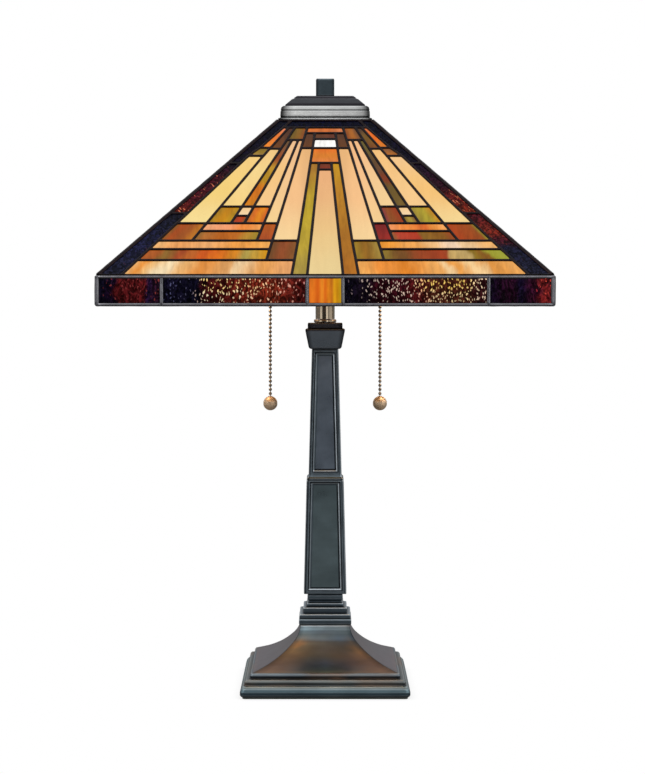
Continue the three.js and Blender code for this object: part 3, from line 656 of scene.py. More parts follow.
# tone stops: (place along the piece, sRGB); "u" runs from the inner line outwards, "v" up the slope.
# The first list is for the left half, the second for the right half.
TONES = {
    "bar_0": ("v", [(0, (251, 222, 158)), (0.5, (252, 210, 142)), (1, (251, 196, 134))], None),
    "dot_0": ("v", [(0, (142, 56, 31)), (1, (112, 59, 36))], None),
    "gem_0": ("v", [(0, (229, 130, 62)), (0.5, (219, 126, 40)), (1, (233, 116, 36))], None),
    "white_0": ("v", [(0, (264, 262, 258)), (1, (258, 256, 252))], None),
    "brow_0": ("u", [(0, (103, 66, 40)), (1, (110, 61, 42))], None),
    "top_0": ("u", [(0, (226, 127, 57)), (0.6, (214, 119, 55)), (1, (232, 144, 88))], None),
    "reed": ("v", [(0, (172, 148, 66)), (0.3, (192, 164, 52)), (0.6, (200, 176, 46)), (1, (176, 128, 44))],
             [(0, (186, 114, 32)), (0.3, (180, 116, 34)), (0.7, (196, 140, 36)), (1, (206, 158, 30))]),
    "bar_b": ("v", [(0, (252, 216, 156)), (0.5, (251, 206, 142)), (1, (249, 202, 132))], None),
    "brow_b": ("v", [(0, (110, 70, 36)), (1, (95, 62, 40))], None),
    "foot_b": ("u", [(0, (134, 83, 38)), (0.5, (145, 74, 36)), (1, (110, 70, 34))],
               [(0, (156, 123, 34)), (0.45, (145, 99, 27)), (1, (158, 129, 54))]),
    "bar_c": ("v", [(0, (251, 218, 150)), (1, (247, 204, 146))], [(0, (251, 216, 150)), (1, (250, 200, 140))]),
    "foot_c": ("v", [(0, (171, 76, 31)), (1, (184, 90, 27))], [(0, (149, 41, 32)), (1, (122, 31, 31))]),
    "bar_d": ("v", [(0, (251, 214, 144)), (0.5, (250, 210, 134)), (1, (247, 206, 150))], [(0, (250, 222, 156)), (1, (249, 202, 142))]),
    "foot_d": ("u", [(0, (209, 99, 31)), (0.4, (226, 138, 22)), (0.75, (212, 109, 28)), (1, (188, 110, 37))],
               [(0, (141, 61, 61)), (0.35, (141, 77, 31)), (1, (158, 61, 24))]),
    "reed_e": ("v", [(0, (212, 134, 22)), (0.22, (209, 118, 19)), (0.4, (184, 146, 26)), (0.55, (189, 148, 38)),
                     (0.7, (158, 81, 34)), (1, (101, 81, 52))],
               [(0, (115, 94, 40)), (0.3, (108, 89, 38)), (0.42, (131, 59, 28)), (0.55, (99, 71, 43)), (1, (108, 99, 45))]),
    "chip_e": ("v", [(0, (252, 226, 176)), (1, (250, 214, 150))], None),
    "foot_e": ("u", [(0, (117, 99, 45)), (0.35, (185, 65, 23)), (0.8, (176, 63, 27)), (1, (108, 72, 45))],
               [(0, (135, 108, 36)), (0.5, (164, 144, 54)), (1, (135, 90, 54))]),
    "head": ("u", [(0, (153, 84, 35)), (0.5, (135, 99, 34)), (1, (115, 97, 37))],
             [(0, (144, 77, 34)), (0.5, (167, 102, 35)), (1, (108, 77, 50))]),
    "bar_f": ("v", [(0, (252, 226, 140)), (0.6, (250, 228, 146)), (1, (247, 212, 136))], [(0, (252, 216, 146)), (1, (249, 206, 130))]),
    "foot_f": ("u", [(0, (185, 144, 26)), (0.5, (200, 138, 14)), (1, (167, 129, 29))],
               [(0, (155, 138, 48)), (0.5, (171, 158, 46)), (1, (200, 143, 34))]),
    "head_f": ("v", [(0, (106, 66, 30)), (1, (81, 55, 41))], [(0, (126, 75, 30)), (0.5, (118, 90, 34)), (1, (76, 58, 44))]),
    "bar_g": ("v", [(0, (252, 230, 152)), (0.5, (250, 224, 128)), (1, (250, 220, 134))],
              [(0, (250, 222, 150)), (0.5, (250, 208, 124)), (1, (250, 212, 146))]),
    "chip_g": ("v", [(0, (163, 134, 69)), (0.5, (151, 126, 38)), (1, (120, 101, 43))],
               [(0, (177, 109, 38)), (1, (129, 87, 52))]),
    "head_g": ("v", [(0, (239, 145, 47)), (0.6, (233, 128, 49)), (1, (225, 140, 99))],
               [(0, (221, 130, 40)), (0.6, (229, 113, 31)), (1, (208, 117, 63))]),
    "foot_g": ("u", [(0, (190, 116, 32)), (0.4, (164, 85, 31)), (0.75, (171, 77, 25)), (1, (138, 88, 36))],
               [(0, (175, 66, 20)), (0.5, (162, 72, 22)), (0.8, (155, 77, 25)), (1, (147, 138, 43))]),
    "band_1": ("u", [(0, (246, 166, 86)), (0.3, (238, 140, 60)), (0.6, (244, 160, 110)), (1, (246, 172, 120))],
               [(0, (238, 150, 92)), (0.35, (240, 140, 60)), (0.65, (214, 104, 40)), (0.8, (240, 150, 62)), (1, (244, 170, 96))]),
    "band_2": ("u", [(0, (162, 133, 39)), (0.2, (184, 135, 44)), (0.35, (190, 104, 26)), (0.6, (180, 94, 19)), (0.85, (180, 108, 44)), (1, (138, 99, 44))],
               [(0, (147, 86, 44)), (0.12, (180, 63, 40)), (0.42, (175, 56, 30)), (0.5, (138, 97, 30)), (0.8, (138, 88, 23)), (1, (155, 74, 28))]),
    "band_3": ("u", [(0, (246, 172, 84)), (0.3, (240, 158, 70)), (0.55, (246, 176, 110)), (0.8, (236, 160, 92)), (1, (246, 184, 116))],
               [(0, (240, 152, 46)), (0.3, (240, 166, 84)), (0.45, (244, 190, 128)), (0.62, (246, 212, 180)), (0.72, (240, 200, 150)), (1, (240, 176, 100))]),
    "band_4": ("u", [(0, (216, 151, 18)), (0.12, (195, 153, 54)), (0.2, (177, 155, 72)), (0.28, (219, 134, 27)), (0.4, (223, 114, 20)),
                     (0.5, (210, 88, 20)), (0.62, (192, 99, 36)), (0.72, (166, 72, 31)), (0.84, (140, 101, 41)), (0.93, (167, 85, 31)), (1, (177, 92, 36))],
               [(0, (140, 114, 41)), (0.15, (121, 77, 31)), (0.3, (154, 66, 27)), (0.5, (160, 61, 25)), (0.56, (201, 166, 99)),
                (0.66, (192, 162, 99)), (0.72, (140, 110, 27)), (0.82, (136, 88, 23)), (0.87, (158, 156, 45)), (1, (164, 166, 56))]),
    "band_5": ("u", [(0, (238, 168, 106)), (0.2, (232, 160, 84)), (0.33, (246, 210, 160)), (0.42, (232, 168, 100)), (0.55, (228, 144, 62)),
                     (0.68, (238, 180, 110)), (0.78, (248, 224, 180)), (0.88, (244, 190, 120)), (0.93, (236, 150, 60)), (1, (238, 180, 112))],
               [(0, (246, 180, 96)), (0.15, (236, 144, 56)), (0.3, (228, 132, 34)), (0.48, (240, 170, 90)), (0.55, (244, 206, 150)),
                (0.6, (236, 160, 74)), (0.72, (248, 208, 148)), (0.82, (226, 150, 66)), (1, (236, 168, 90))]),
    "hip_1": ("v", [(0, (26, 27, 46)), (0.5, (25, 26, 56)), (1, (18, 20, 34))],
              [(0, (26, 27, 46)), (0.42, (22, 22, 44)), (0.52, (60, 16, 30)), (0.7, (112, 32, 20)), (1, (70, 18, 26))]),
    "hip_2": ("v", [(0, (90, 24, 16)), (0.4, (76, 16, 30)), (0.7, (60, 14, 26)), (1, (22, 12, 32))],
              [(0, (112, 36, 18)), (0.3, (96, 24, 20)), (0.55, (40, 10, 26)), (1, (26, 12, 34))]),
    "hip_3": ("v", [(0, (16, 9, 30)), (1, (8, 11, 30))], None),
    "crown_0": ("u", [(0, (5, 8, 30)), (0.5, (3, 5, 34)), (1, (5, 7, 28))], None),
}
SPARK = {"hip_1": (120, 46, 34), "hip_2": (214, 120, 84), "hip_3": (40, 34, 70), "crown_0": (14, 30, 70)}
# how thick the bright flecks lie along a rippled piece: left half, right half
DENSE = {"hip_1": ([(0, 0.02), (1, 0.05)], [(0, 0.02), (0.4, 0.03), (0.55, 0.3), (0.75, 0.5), (1, 0.2)]),
         "hip_2": ([(0, 0.45), (0.5, 0.3), (0.8, 0.1), (1, 0.03)], [(0, 0.55), (0.3, 0.45), (0.5, 0.1), (1, 0.04)]),
         "hip_3": ([(0, 0.02), (1, 0.0)], [(0, 0.02), (1, 0.0)]), "crown_0": ([(0, 0.0), (1, 0.0)], [(0, 0.0), (1, 0.0)])}


def ramp_at(stops, t, smooth=True):
    """A value or colour read off a list of stops."""
    t = min(stops[-1][0], max(stops[0][0], t))
    for (p0, c0), (p1, c1) in zip(stops[:-1], stops[1:]):
        if t <= p1:
            f = (t - p0) / max(p1 - p0, 1e-6)
            if smooth:
                f = f * f * (3 - 2 * f)
            return np.asarray(c0) * (1 - f) + np.asarray(c1) * f
    return np.asarray(stops[-1][1])


def tone_at(key, left, u, v, X, S, seed):
    axis, a, b = TONES[key]
    stops = a if (left or b is None) else b
    # opalescent sheet is never even: the streaks wander
    t = u if axis == "u" else v
    wander = 0.05 * snoise(X * 0.09 + seed, S * 0.05, seed) + 0.02 * snoise(X * 0.4, S * 0.12, seed + 7)
    t = min(1.0, max(0.0, t + wander))
    c = ramp_at([(p, lin(q)) for p, q in stops], t)
    if key in ("gem_0", "white_0"):
        return c
    k = min(1.0, max(0.0, (S - 50) / 50))
    mid = max(0.0, min(1.0, (26 - abs(X)) / 8))
    return c * np.array((1.0, 1 - 0.10 * k, 1 - 0.05 * k)) * (1 - 0.1 * mid)


def glass_piece(soup_v, soup_f, soup_c, piece, sign, k, cell, wave, dense=None):
    """One cut piece of sheet glass: a wavy slab whose edges sit in the solder."""
    key, inner, outer, s0, s1, fam = piece
    inset = 0.45
    s_lo, s_hi = s0 + inset, s1 - inset
    width = max(abs(line_at(outer, s0) - line_at(inner, s0)), abs(line_at(outer, s1) - line_at(inner, s1)))
    nu = max(3, int(width / cell))
    nv = max(3, int((s_hi - s_lo) / cell))
    seed = (hash_name(key) + 37 * k + (11 if sign < 0 else 0)) * 0.37
    left = (sign < 0) ^ (k in (1, 3))
    tilt = 0.25 * snoise(seed, 1.3, 2.7)
    top, bot, col, den = [], [], [], []
    for j in range(nv + 1):
        v = j / nv
        s = s_lo + (s_hi - s_lo) * v
        xi, xo = line_at(inner, s), line_at(outer, s)
        slope = math.sqrt(1 + 0.3 ** 2)
        xi, xo = xi + inset * slope, xo - inset * slope
        for i in range(nu + 1):
            u = i / nu
            x = xi + (xo - xi) * u
            de = min(u * (xo - xi), (1 - u) * (xo - xi), v * (s_hi - s_lo), (1 - v) * (s_hi - s_lo))
            edge = -0.35 * max(0.0, 1 - de / 0.8)
            X = sign * x
            w = wave * snoise(X * 0.11 + seed, s * 0.07, seed) + wave * 0.4 * snoise(X * 0.33, s * 0.21 + seed, 3.1)
            if fam == "ripple":
                w += 0.32 * snoise(X * 0.42 + seed, s * 0.38, seed) + 0.12 * snoise(X * 0.9, s * 0.8, seed)
            pillow = 0.12 * (1 - (2 * u - 1) ** 4) * (1 - (2 * v - 1) ** 4)
            h = w + edge + pillow - 0.12 + tilt * (u - 0.5) * 0.2
            top.append((X, s, h))
            bot.append((X, s, -GLASS_T + 0.5 * w - edge * 0.6))
            col.append(tone_at(key, left, u, v, X, s, seed))
            if dense is not None:
                den.append(float(ramp_at(DENSE[key][0 if left else 1], v)))
    n = len(soup_v)
    cnt = len(top)
    P = np.array(top + bot)
    W = on_panel(P[:, 0], P[:, 1], P[:, 2], k)
    base = sum(len(a) for a in soup_v)
    soup_v.append(W)
    soup_c.append(np.array(col + col))
    if dense is not None:
        dense += den + den
    m = nu + 1
    flip = sign < 0

    def q(*f):
        soup_f.append(tuple(base + t for t in (reversed(f) if flip else f)))

    for j in range(nv):
        for i in range(nu):
            a = j * m + i
            q(a, a + 1, a + 1 + m, a + m)
            q(cnt + a, cnt + a + m, cnt + a + 1 + m, cnt + a + 1)
    for i in range(nu):
        q(i + 1, i, cnt + i, cnt + i + 1)
        a = nv * m + i
        q(a, a + 1, cnt + a + 1, cnt + a)
    for j in range(nv):
        a = j * m
        q(a, a + m, cnt + a + m, cnt + a)
        a = j * m + nu
        q(a + m, a, cnt + a, cnt + a + m)


def hash_name(s):
    h = 0
    for ch in s:
        h = (h * 31 + ord(ch)) % 997
    return h


SIDES = ["front", "right", "back", "left"]
GROUPS = {
    "cream_bars": (["bar_0", "bar_b", "bar_c", "bar_d", "bar_f", "bar_g", "chip_e"], "long", 2.6, 0.10),
    "reeds": (["reed", "reed_e", "foot_b", "foot_c", "foot_d", "foot_e", "foot_f"], "strip", 1.5, 0.14),
    "bands": (["band_1", "band_2", "band_3", "band_4", "band_5", "foot_g"], "strip", 1.5, 0.14),
    "crown_pieces": (["dot_0", "gem_0", "white_0", "brow_0", "top_0", "brow_b", "head", "head_f", "head_g", "chip_g"], "strip", 1.4, 0.12),
    "hip_strips": (["hip_1", "hip_2", "hip_3", "crown_0"], "ripple", 1.5, 0.16),
}
PIECES = {p[0]: (p, True) for p in CENTRE}
PIECES.update({p[0]: (p, False) for p in SIDE})

glass_objects = {s: [] for s in SIDES}
for k, side in enumerate(SIDES):
    for gname, (keys, fam, cell, wave) in GROUPS.items():
        sv, sf, sc, sp = [], [], [], []
        dn = [] if fam == "ripple" else None
        for key in keys:
            piece, centre = PIECES[key]
            for sign in ((1,) if centre else (1, -1)):
                before = sum(len(a) for a in sv)
                glass_piece(sv, sf, sc, piece, sign, k, cell, wave, dn)
                cnt = sum(len(a) for a in sv) - before
                sp.append(np.tile(lin(SPARK.get(key, (200, 120, 70))), (cnt, 1)))
        ob = make_mesh(f"{gname}_{side}", np.concatenate(sv), sf, colors=np.concatenate(sc), sharp_deg=50,
                       attrs={"dense": dn} if dn is not None else None)
        if fam == "ripple":
            a = ob.data.color_attributes.new("spark", "FLOAT_COLOR", "POINT")
            c = np.ones((len(ob.data.vertices), 4), np.float32)
            c[:, :3] = np.concatenate(sp)
            a.data.foreach_set("color", c.ravel())
            mat = MAT["ripple"]
        else:
            mat = MAT[f"glass_{fam}" + ("_side" if k % 2 else "")]
        ob.data.materials.append(mat)
        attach(ob, "shade")
        glass_objects[side].append(ob)
    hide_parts(f"glass_panel_{side}")

# ------------------------------------------------------------- the solder network
def polygon_of(piece, sign):
    key, inner, outer, s0, s1, fam = piece
    right = line_points(outer, s0, s1)
    left = line_points(inner, s0, s1)
    pts = left[:1] + right + left[::-1][:-1] if len(left) > 1 else right
    pts = [left[0]] + right + list(reversed(left[1:]))
    pts = [(sign * x, s) for x, s in pts]
    if sign < 0:
        pts = pts[::-1]
    return pts


POLYS = [polygon_of(p, 1) for p in CENTRE] + [polygon_of(p, s) for p in SIDE for s in (1, -1)]


def solder_mesh(k):
    key = lambda p: (round(p[0], 3), round(p[1], 3))
    allv = {key(v) for poly in POLYS for v in poly}
    allv = np.array(sorted(allv))
    HALF, RISE, SINK = 1.28, 1.05, 0.35
    T = [0.0, 0.34, 0.62, 0.84, 0.96, 1.0]
    verts, index, faces = [], {}, []

    def vid(x, s, h, tag):
        q = (round(x, 3), round(s, 3), tag)
        if q not in index:
            index[q] = len(verts)
            verts.append((x, s, h))
        return index[q]

    edge_use = {}
    for poly in POLYS:
        n = len(poly)
        P = [np.array(p, float) for p in poly]
        cyc = []   # (corner point, n1, n2, along-edge info)
        # edges with the neighbours' corners and a few points between
        for i in range(n):
            a, b = P[i], P[(i + 1) % n]
            d = b - a
            L = np.linalg.norm(d)
            d = d / L
            nrm = np.array([-d[1], d[0]])
            rel = allv - a
            t = rel @ d
            off = np.abs(rel @ nrm)
            on = [float(q) for q in t[(off < 0.03) & (t > 0.05) & (t < L - 0.05)]]
            stops = sorted([0.0] + on + [L])
            full = [stops[0]]
            for q0, q1 in zip(stops[:-1], stops[1:]):
                m = max(1, int(math.ceil((q1 - q0) / 7.0)))
                full += [q0 + (q1 - q0) * j / m for j in range(1, m + 1)]
            cyc.append((a, d, nrm, L, full))
        rings = [[] for _ in T]
        for i in range(n):
            a, d, nrm, L, full = cyc[i]
            _, d0, n0, _, _ = cyc[i - 1]
            _, d1, n1, _, _ = cyc[(i + 1) % n]
            cr0 = d0[0] * d[1] - d0[1] * d[0]
            cr1 = d[0] * d1[1] - d[1] * d1[0]

            def corner(pt, na, nb, D):
                det = na[0] * nb[1] - na[1] * nb[0]
                if abs(det) < 1e-6:
                    return pt + na * D
                ca, cb = na @ pt + D, nb @ pt + D
                return np.array([(ca * nb[1] - cb * na[1]) / det, (na[0] * cb - nb[0] * ca) / det])

            for ti, t in enumerate(T):
                dd = HALF * t
                r = 0.9 * t
                C = corner(a, n0, nrm, dd + r)
                # arc round the corner from the last edge to this one
                if ti == 0:
                    arc = [a.copy() for _ in range(3)]
                else:
                    arc = []
                    for f in (0.0, 0.5, 1.0):
                        nn = n0 * (1 - f) + nrm * f
                        nn = nn / np.linalg.norm(nn)
                        arc.append(C - nn * r)
                E = corner(P[(i + 1) % n], nrm, n1, dd + r)
                q_lo = float((C - nrm * r - a) @ d)
                q_hi = float((E - nrm * r - a) @ d)
                pts = list(arc)
                for q in full[1:-1]:
                    q2 = min(max(q, q_lo), q_hi)
                    p = a + d * q2
                    g = 1.0 + 0.10 * snoise(p[0] * 0.17, p[1] * 0.17, 4.4 + k) if ti else 0.0
                    pts.append(p + nrm * dd * (g if ti else 0))
                rings[ti] += pts
        m = len(rings[0])
        ids = []
        for ti, t in enumerate(T):
            row = []
            for p in rings[ti]:
                rise = RISE * (1 + 0.12 * snoise(p[0] * 0.09, p[1] * 0.09, 9.1 + k))
                h = rise * math.sqrt(max(0.0, 1 - t * t))
                if ti == len(T) - 1:
                    h = 0.0
                row.append(vid(p[0], p[1], h, "t" if ti == 0 else ("t", id(poly), ti)))
            ids.append(row)
        down = [vid(p[0], p[1], -SINK, ("d", id(poly))) for p in rings[-1]]
        back = [vid(p[0], p[1], -SINK, "b") for p in rings[0]]
        ids += [down, back]
        for r0, r1 in zip(ids[:-1], ids[1:]):
            for j in range(m):
                l = (j + 1) % m
                f = []
                for q in (r0[j], r0[l], r1[l], r1[j]):
                    if q not in f:
                        f.append(q)
                if len(f) > 2:
                    faces.append(tuple(f))
        top, low = ids[0], ids[-1]
        for j in range(m):
            l = (j + 1) % m
            if top[j] != top[l]:
                edge_use[(top[j], top[l])] = (low[j], low[l])
    for (a, b), (c, d) in edge_use.items():
        if (b, a) not in edge_use:
            faces.append((b, a, c, d))
    V = np.array(verts)
    outer = on_panel(V[:, 0], V[:, 1], V[:, 2], k)
    inner = on_panel(V[:, 0], V[:, 1], -GLASS_T - V[:, 2], k)
    F = faces + [tuple(reversed([q + len(V) for q in f])) for f in faces]
    return np.concatenate([outer, inner]), F


for k, side in enumerate(SIDES):
    v, f = solder_mesh(k)
    ob = make_mesh(f"solder_lines_{side}", v, f, sharp_deg=60)
    flip_if_needed(ob)
    ob.data.materials.append(MAT["solder"])
    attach(ob, "shade")
    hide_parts(f"lead_lattice_{side}")


# ---------------------------------------------------- swept beads: hips, rims, posts
def sweep(path, section, closed=False, up=None, jitter=0.0, seed=0.0, cap=True):
    """A bead along a path. section is [(a, b), ...] in mm: a along the side vector, b along up."""
    path = [np.asarray(p, float) for p in path]
    n, m = len(path), len(section)
    verts, faces = [], []
    for i, p in enumerate(path):
        if closed:
            t = path[(i + 1) % n] - path[i - 1]
        else:
            t = path[min(i + 1, n - 1)] - path[max(i - 1, 0)]
        t = t / np.linalg.norm(t)
        u = up(p, t) if callable(up) else np.asarray(up, float)
        s = np.cross(t, u)
        s = s / np.linalg.norm(s)
        u = np.cross(s, t)
        g = 1 + jitter * snoise(p[0] * 0.12 + seed, p[1] * 0.12, p[2] * 0.12)
        for a, b in section:
            verts.append(p + s * a * g + u * b * g)
    for i in range(n if closed else n - 1):
        j = (i + 1) % n
        for q in range(m):
            r = (q + 1) % m
            faces.append((i * m + q, i * m + r, j * m + r, j * m + q))
    if cap and not closed:
        faces.append(tuple(reversed(range(m))))
        faces.append(tuple((n - 1) * m + q for q in range(m)))
    return np.array(verts) * MM, faces


def oval(a, b, n=12):
    return [(a * math.cos(t), b * math.sin(t)) for t in np.linspace(0, 2 * math.pi, n, endpoint=False)]


N1 = np.array([0, -SIN_T, COS_T]); N2 = np.array([SIN_T, 0, COS_T])
HIP_UP = (N1 + N2) / np.linalg.norm(N1 + N2)
foot = np.array([SHADE_R, -SHADE_R, SHADE_Z]); head = np.array([TOP_R, -TOP_R, TOP_Z])
hdir = (head - foot) / np.linalg.norm(head - foot)
hips = ["hip_came_front_right", "hip_came_right_back", "hip_came_back_left", "hip_came_left_front"]
for k, nm in enumerate(hips):
    base = foot + hdir * 0.5 - HIP_UP * 0.75
    path = [base + hdir * t for t in np.arange(3.4, 263.0, 4.0)] + [base + hdir * 263.0]
    v, f = sweep(path, oval(2.5, 1.75, 14), up=HIP_UP, jitter=0.10, seed=k * 3.3)
    v = turn_z(v, k)
    ob = make_mesh(f"hip_bead_{nm[9:]}", v, f, sharp_deg=50)
    flip_if_needed(ob)
    ob.data.materials.append(MAT["solder"])
    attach(ob, "shade")
    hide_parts(nm)


def rounded_square_path(h, r, z, step=6.0):
    pts = []
    for k in range(4):
        rot = k * math.pi / 2
        n = int(2 * (h - r) / step)
        loc = [(x, -h) for x in np.linspace(-(h - r), h - r, n + 1)]
        loc += [(h - r + r * math.cos(a), -(h - r) + r * math.sin(a)) for a in np.linspace(-math.pi / 2, 0, 6)[1:-1]]
        for x, y in loc:
            pts.append(np.array([x * math.cos(rot) - y * math.sin(rot), x * math.sin(rot) + y * math.cos(rot), z]))
    return pts


def bead_light_tone(ob, side=None):
    """Painted highlight along the outward-facing crown of each bead and painted shade down its flanks."""
    me = ob.data
    nrm = np.array([q.normal[:] for q in me.vertices])
    pos = np.array([q.co[:] for q in me.vertices]) / MM
    if side is None:
        q = np.hypot(nrm[:, 0], nrm[:, 1])
    else:
        q = np.abs(nrm[:, 1] if side % 2 == 0 else nrm[:, 0])
        corner = (np.abs(pos[:, 0]) > 190) & (np.abs(pos[:, 1]) > 190)
        q = np.where(corner, np.abs(nrm[:, 1]), q)
    q = np.clip((q - 0.6) / 0.38, 0, 1)[:, None]
    c = np.ones((len(pos), 4), np.float32)
    c[:, :3] = lin((30, 30, 35)) * (1 - q) + lin((138, 136, 140)) * q
    a = me.color_attributes.new("tone", "FLOAT_COLOR", "POINT")
    a.data.foreach_set("color", c.ravel())


def rim(name, node_name, h, z, a, b, seed):
    v, f = sweep(rounded_square_path(h, 3.2, z), oval(a, b, 14), closed=True, up=(0, 0, 1), jitter=0.12, seed=seed)
    ob = make_mesh(name, v, f)
    flip_if_needed(ob)
    bead_light_tone(ob)
    ob.data.materials.append(MAT["rim"])
    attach(ob, "shade")
    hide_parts(node_name)
    return ob


rim("skirt_rim_upper", "skirt_top_rim", 197.6, 392.2, 2.1, 1.7, 1.0)
rim("skirt_rim_lower", "skirt_bottom_rim", 197.6, 368.3, 2.1, 1.7, 5.0)

# skirt panes and their upright solder lines
# across the skirt in mm: how dark glass, bright flecks and their tone change
BLACK = (10, 8, 24)
SKIRT_TONE = [
    (-196, BLACK), (-184, (22, 8, 30)), (-180, (68, 14, 16)), (-157, (72, 16, 18)), (-154, (28, 14, 42)), (-146, (44, 18, 38)), (-142, (26, 12, 30)),
    (-141, BLACK), (-110, BLACK), (-106, (46, 10, 13)), (-92, (62, 14, 12)), (-70, (98, 30, 20)), (-46, (102, 34, 20)),
    (-30, (90, 26, 19)), (-17, (68, 16, 16)),
    (17, (10, 8, 22)), (36, (18, 8, 20)), (46, (42, 6, 14)), (70, (50, 8, 16)), (78, (78, 18, 20)), (92, (66, 28, 18)),
    (120, (66, 28, 18)), (130, (48, 15, 16)), (141, (44, 14, 18)),
    (142, (16, 7, 26)), (160, (34, 7, 26)), (168, (14, 7, 28)), (182, (42, 8, 26)), (190, (104, 26, 26)), (196, (84, 20, 26)),
]
SKIRT_DENSE = [
    (-196, 0.1), (-182, 0.12), (-178, 0.6), (-158, 0.6), (-154, 0.2), (-142, 0.4), (-140, 0.3), (-114, 0.32), (-108, 0.66), (-95, 0.72),
    (-60, 0.76), (-46, 0.7), (-34, 0.5), (-17, 0.4),
    (17, 0.1), (34, 0.3), (42, 0.7), (72, 0.8), (80, 0.9), (92, 0.97), (124, 0.98), (132, 0.9), (141, 0.8),
    (142, 0.0), (180, 0.03), (188, 0.5), (196, 0.4),
]
SKIRT_SPARK = [
    (-196, (116, 44, 44)), (-142, (126, 52, 50)), (-141, (74, 76, 112)), (-116, (90, 88, 116)), (-110, (200, 170, 150)), (-104, (255, 236, 196)), (-85, (255, 230, 184)),
    (-50, (250, 196, 160)), (-34, (224, 160, 140)), (-17, (206, 140, 130)),
    (17, (90, 74, 86)), (44, (216, 192, 176)), (74, (236, 204, 184)), (84, (240, 170, 144)), (94, (246, 214, 164)), (122, (250, 220, 160)),
    (134, (250, 222, 190)), (141, (240, 206, 176)), (142, (110, 20, 50)), (182, (150, 24, 50)), (188, (236, 84, 66)), (196, (220, 70, 60)),
]
# GOLDEN: where a bulb shines through behind the upper panes, a painted glow that turns the flecks golden
GOLDEN = [(-196, 0), (-112, 0), (-104, 0.8), (-84, 0.6), (-58, 0.35), (-48, 0.15), (-34, 0), (70, 0), (80, 0.35), (92, 1), (122, 1), (130, 0.2), (141, 0.1), (196, 0)]
PANES = [(15.5, 141.5), (-141.5, -15.5), (141.5, 196.6), (-196.6, -141.5)]
MID_TONES = [(0, (206, 92, 26)), (0.12, (226, 120, 34)), (0.3, (214, 96, 24)), (0.42, (236, 140, 40)), (0.5, (220, 104, 26)), (0.6, (228, 132, 30)),
             (0.7, (196, 110, 30)), (0.76, (226, 160, 26)), (0.85, (206, 140, 20)), (0.93, (196, 150, 26)), (1, (206, 160, 40))]


def skirt_pane(x0, x1, cell, k, amp, tone, extra=None):
    """One upright pane of the skirt as a closed slab with a rippled face."""
    z0, z1 = 368.8, 391.6
    nu, nv = int((x1 - x0) / cell), int((z1 - z0) / cell)
    top, bot, col, more = [], [], [], []
    seed = x0 * 0.13 + k * 5.1
    for j in range(nv + 1):
        v = j / nv
        z = z0 + (z1 - z0) * v
        for i in range(nu + 1):
            u = i / nu
            x = x0 + 0.4 + (x1 - x0 - 0.8) * u
            w = amp * snoise(x * 0.42 + seed, z * 0.24, seed) + amp * 0.5 * snoise(x * 0.95, z * 0.5, seed)
            de = min(u * (x1 - x0), (1 - u) * (x1 - x0), v * 23, (1 - v) * 23)
            w -= 0.35 * max(0.0, 1 - de / 0.9)
            top.append((x, -SHADE_R - w + 0.35, z))
            bot.append((x, -SHADE_R + GLASS_T, z))
            col.append(tone(x, z, u, v, seed))
            if extra:
                more.append(extra(x, z, v, seed))
    cnt, m = len(top), nu + 1
    f = []
    for j in range(nv):
        for i in range(nu):
            a = j * m + i
            f.append((a, a + 1, a + 1 + m, a + m))
            f.append((cnt + a, cnt + a + m, cnt + a + 1 + m, cnt + a + 1))
    for i in range(nu):
        f.append((i + 1, i, cnt + i, cnt + i + 1))
        a = nv * m + i
        f.append((a, a + 1, cnt + a + 1, cnt + a))
    for j in range(nv):
        a = j * m
        f.append((a, a + m, cnt + a + m, cnt + a))
        a = j * m + nu
        f.append((a + m, a, cnt + a, cnt + a + m))
    return np.array(top + bot), f, np.array(col + col), more + more


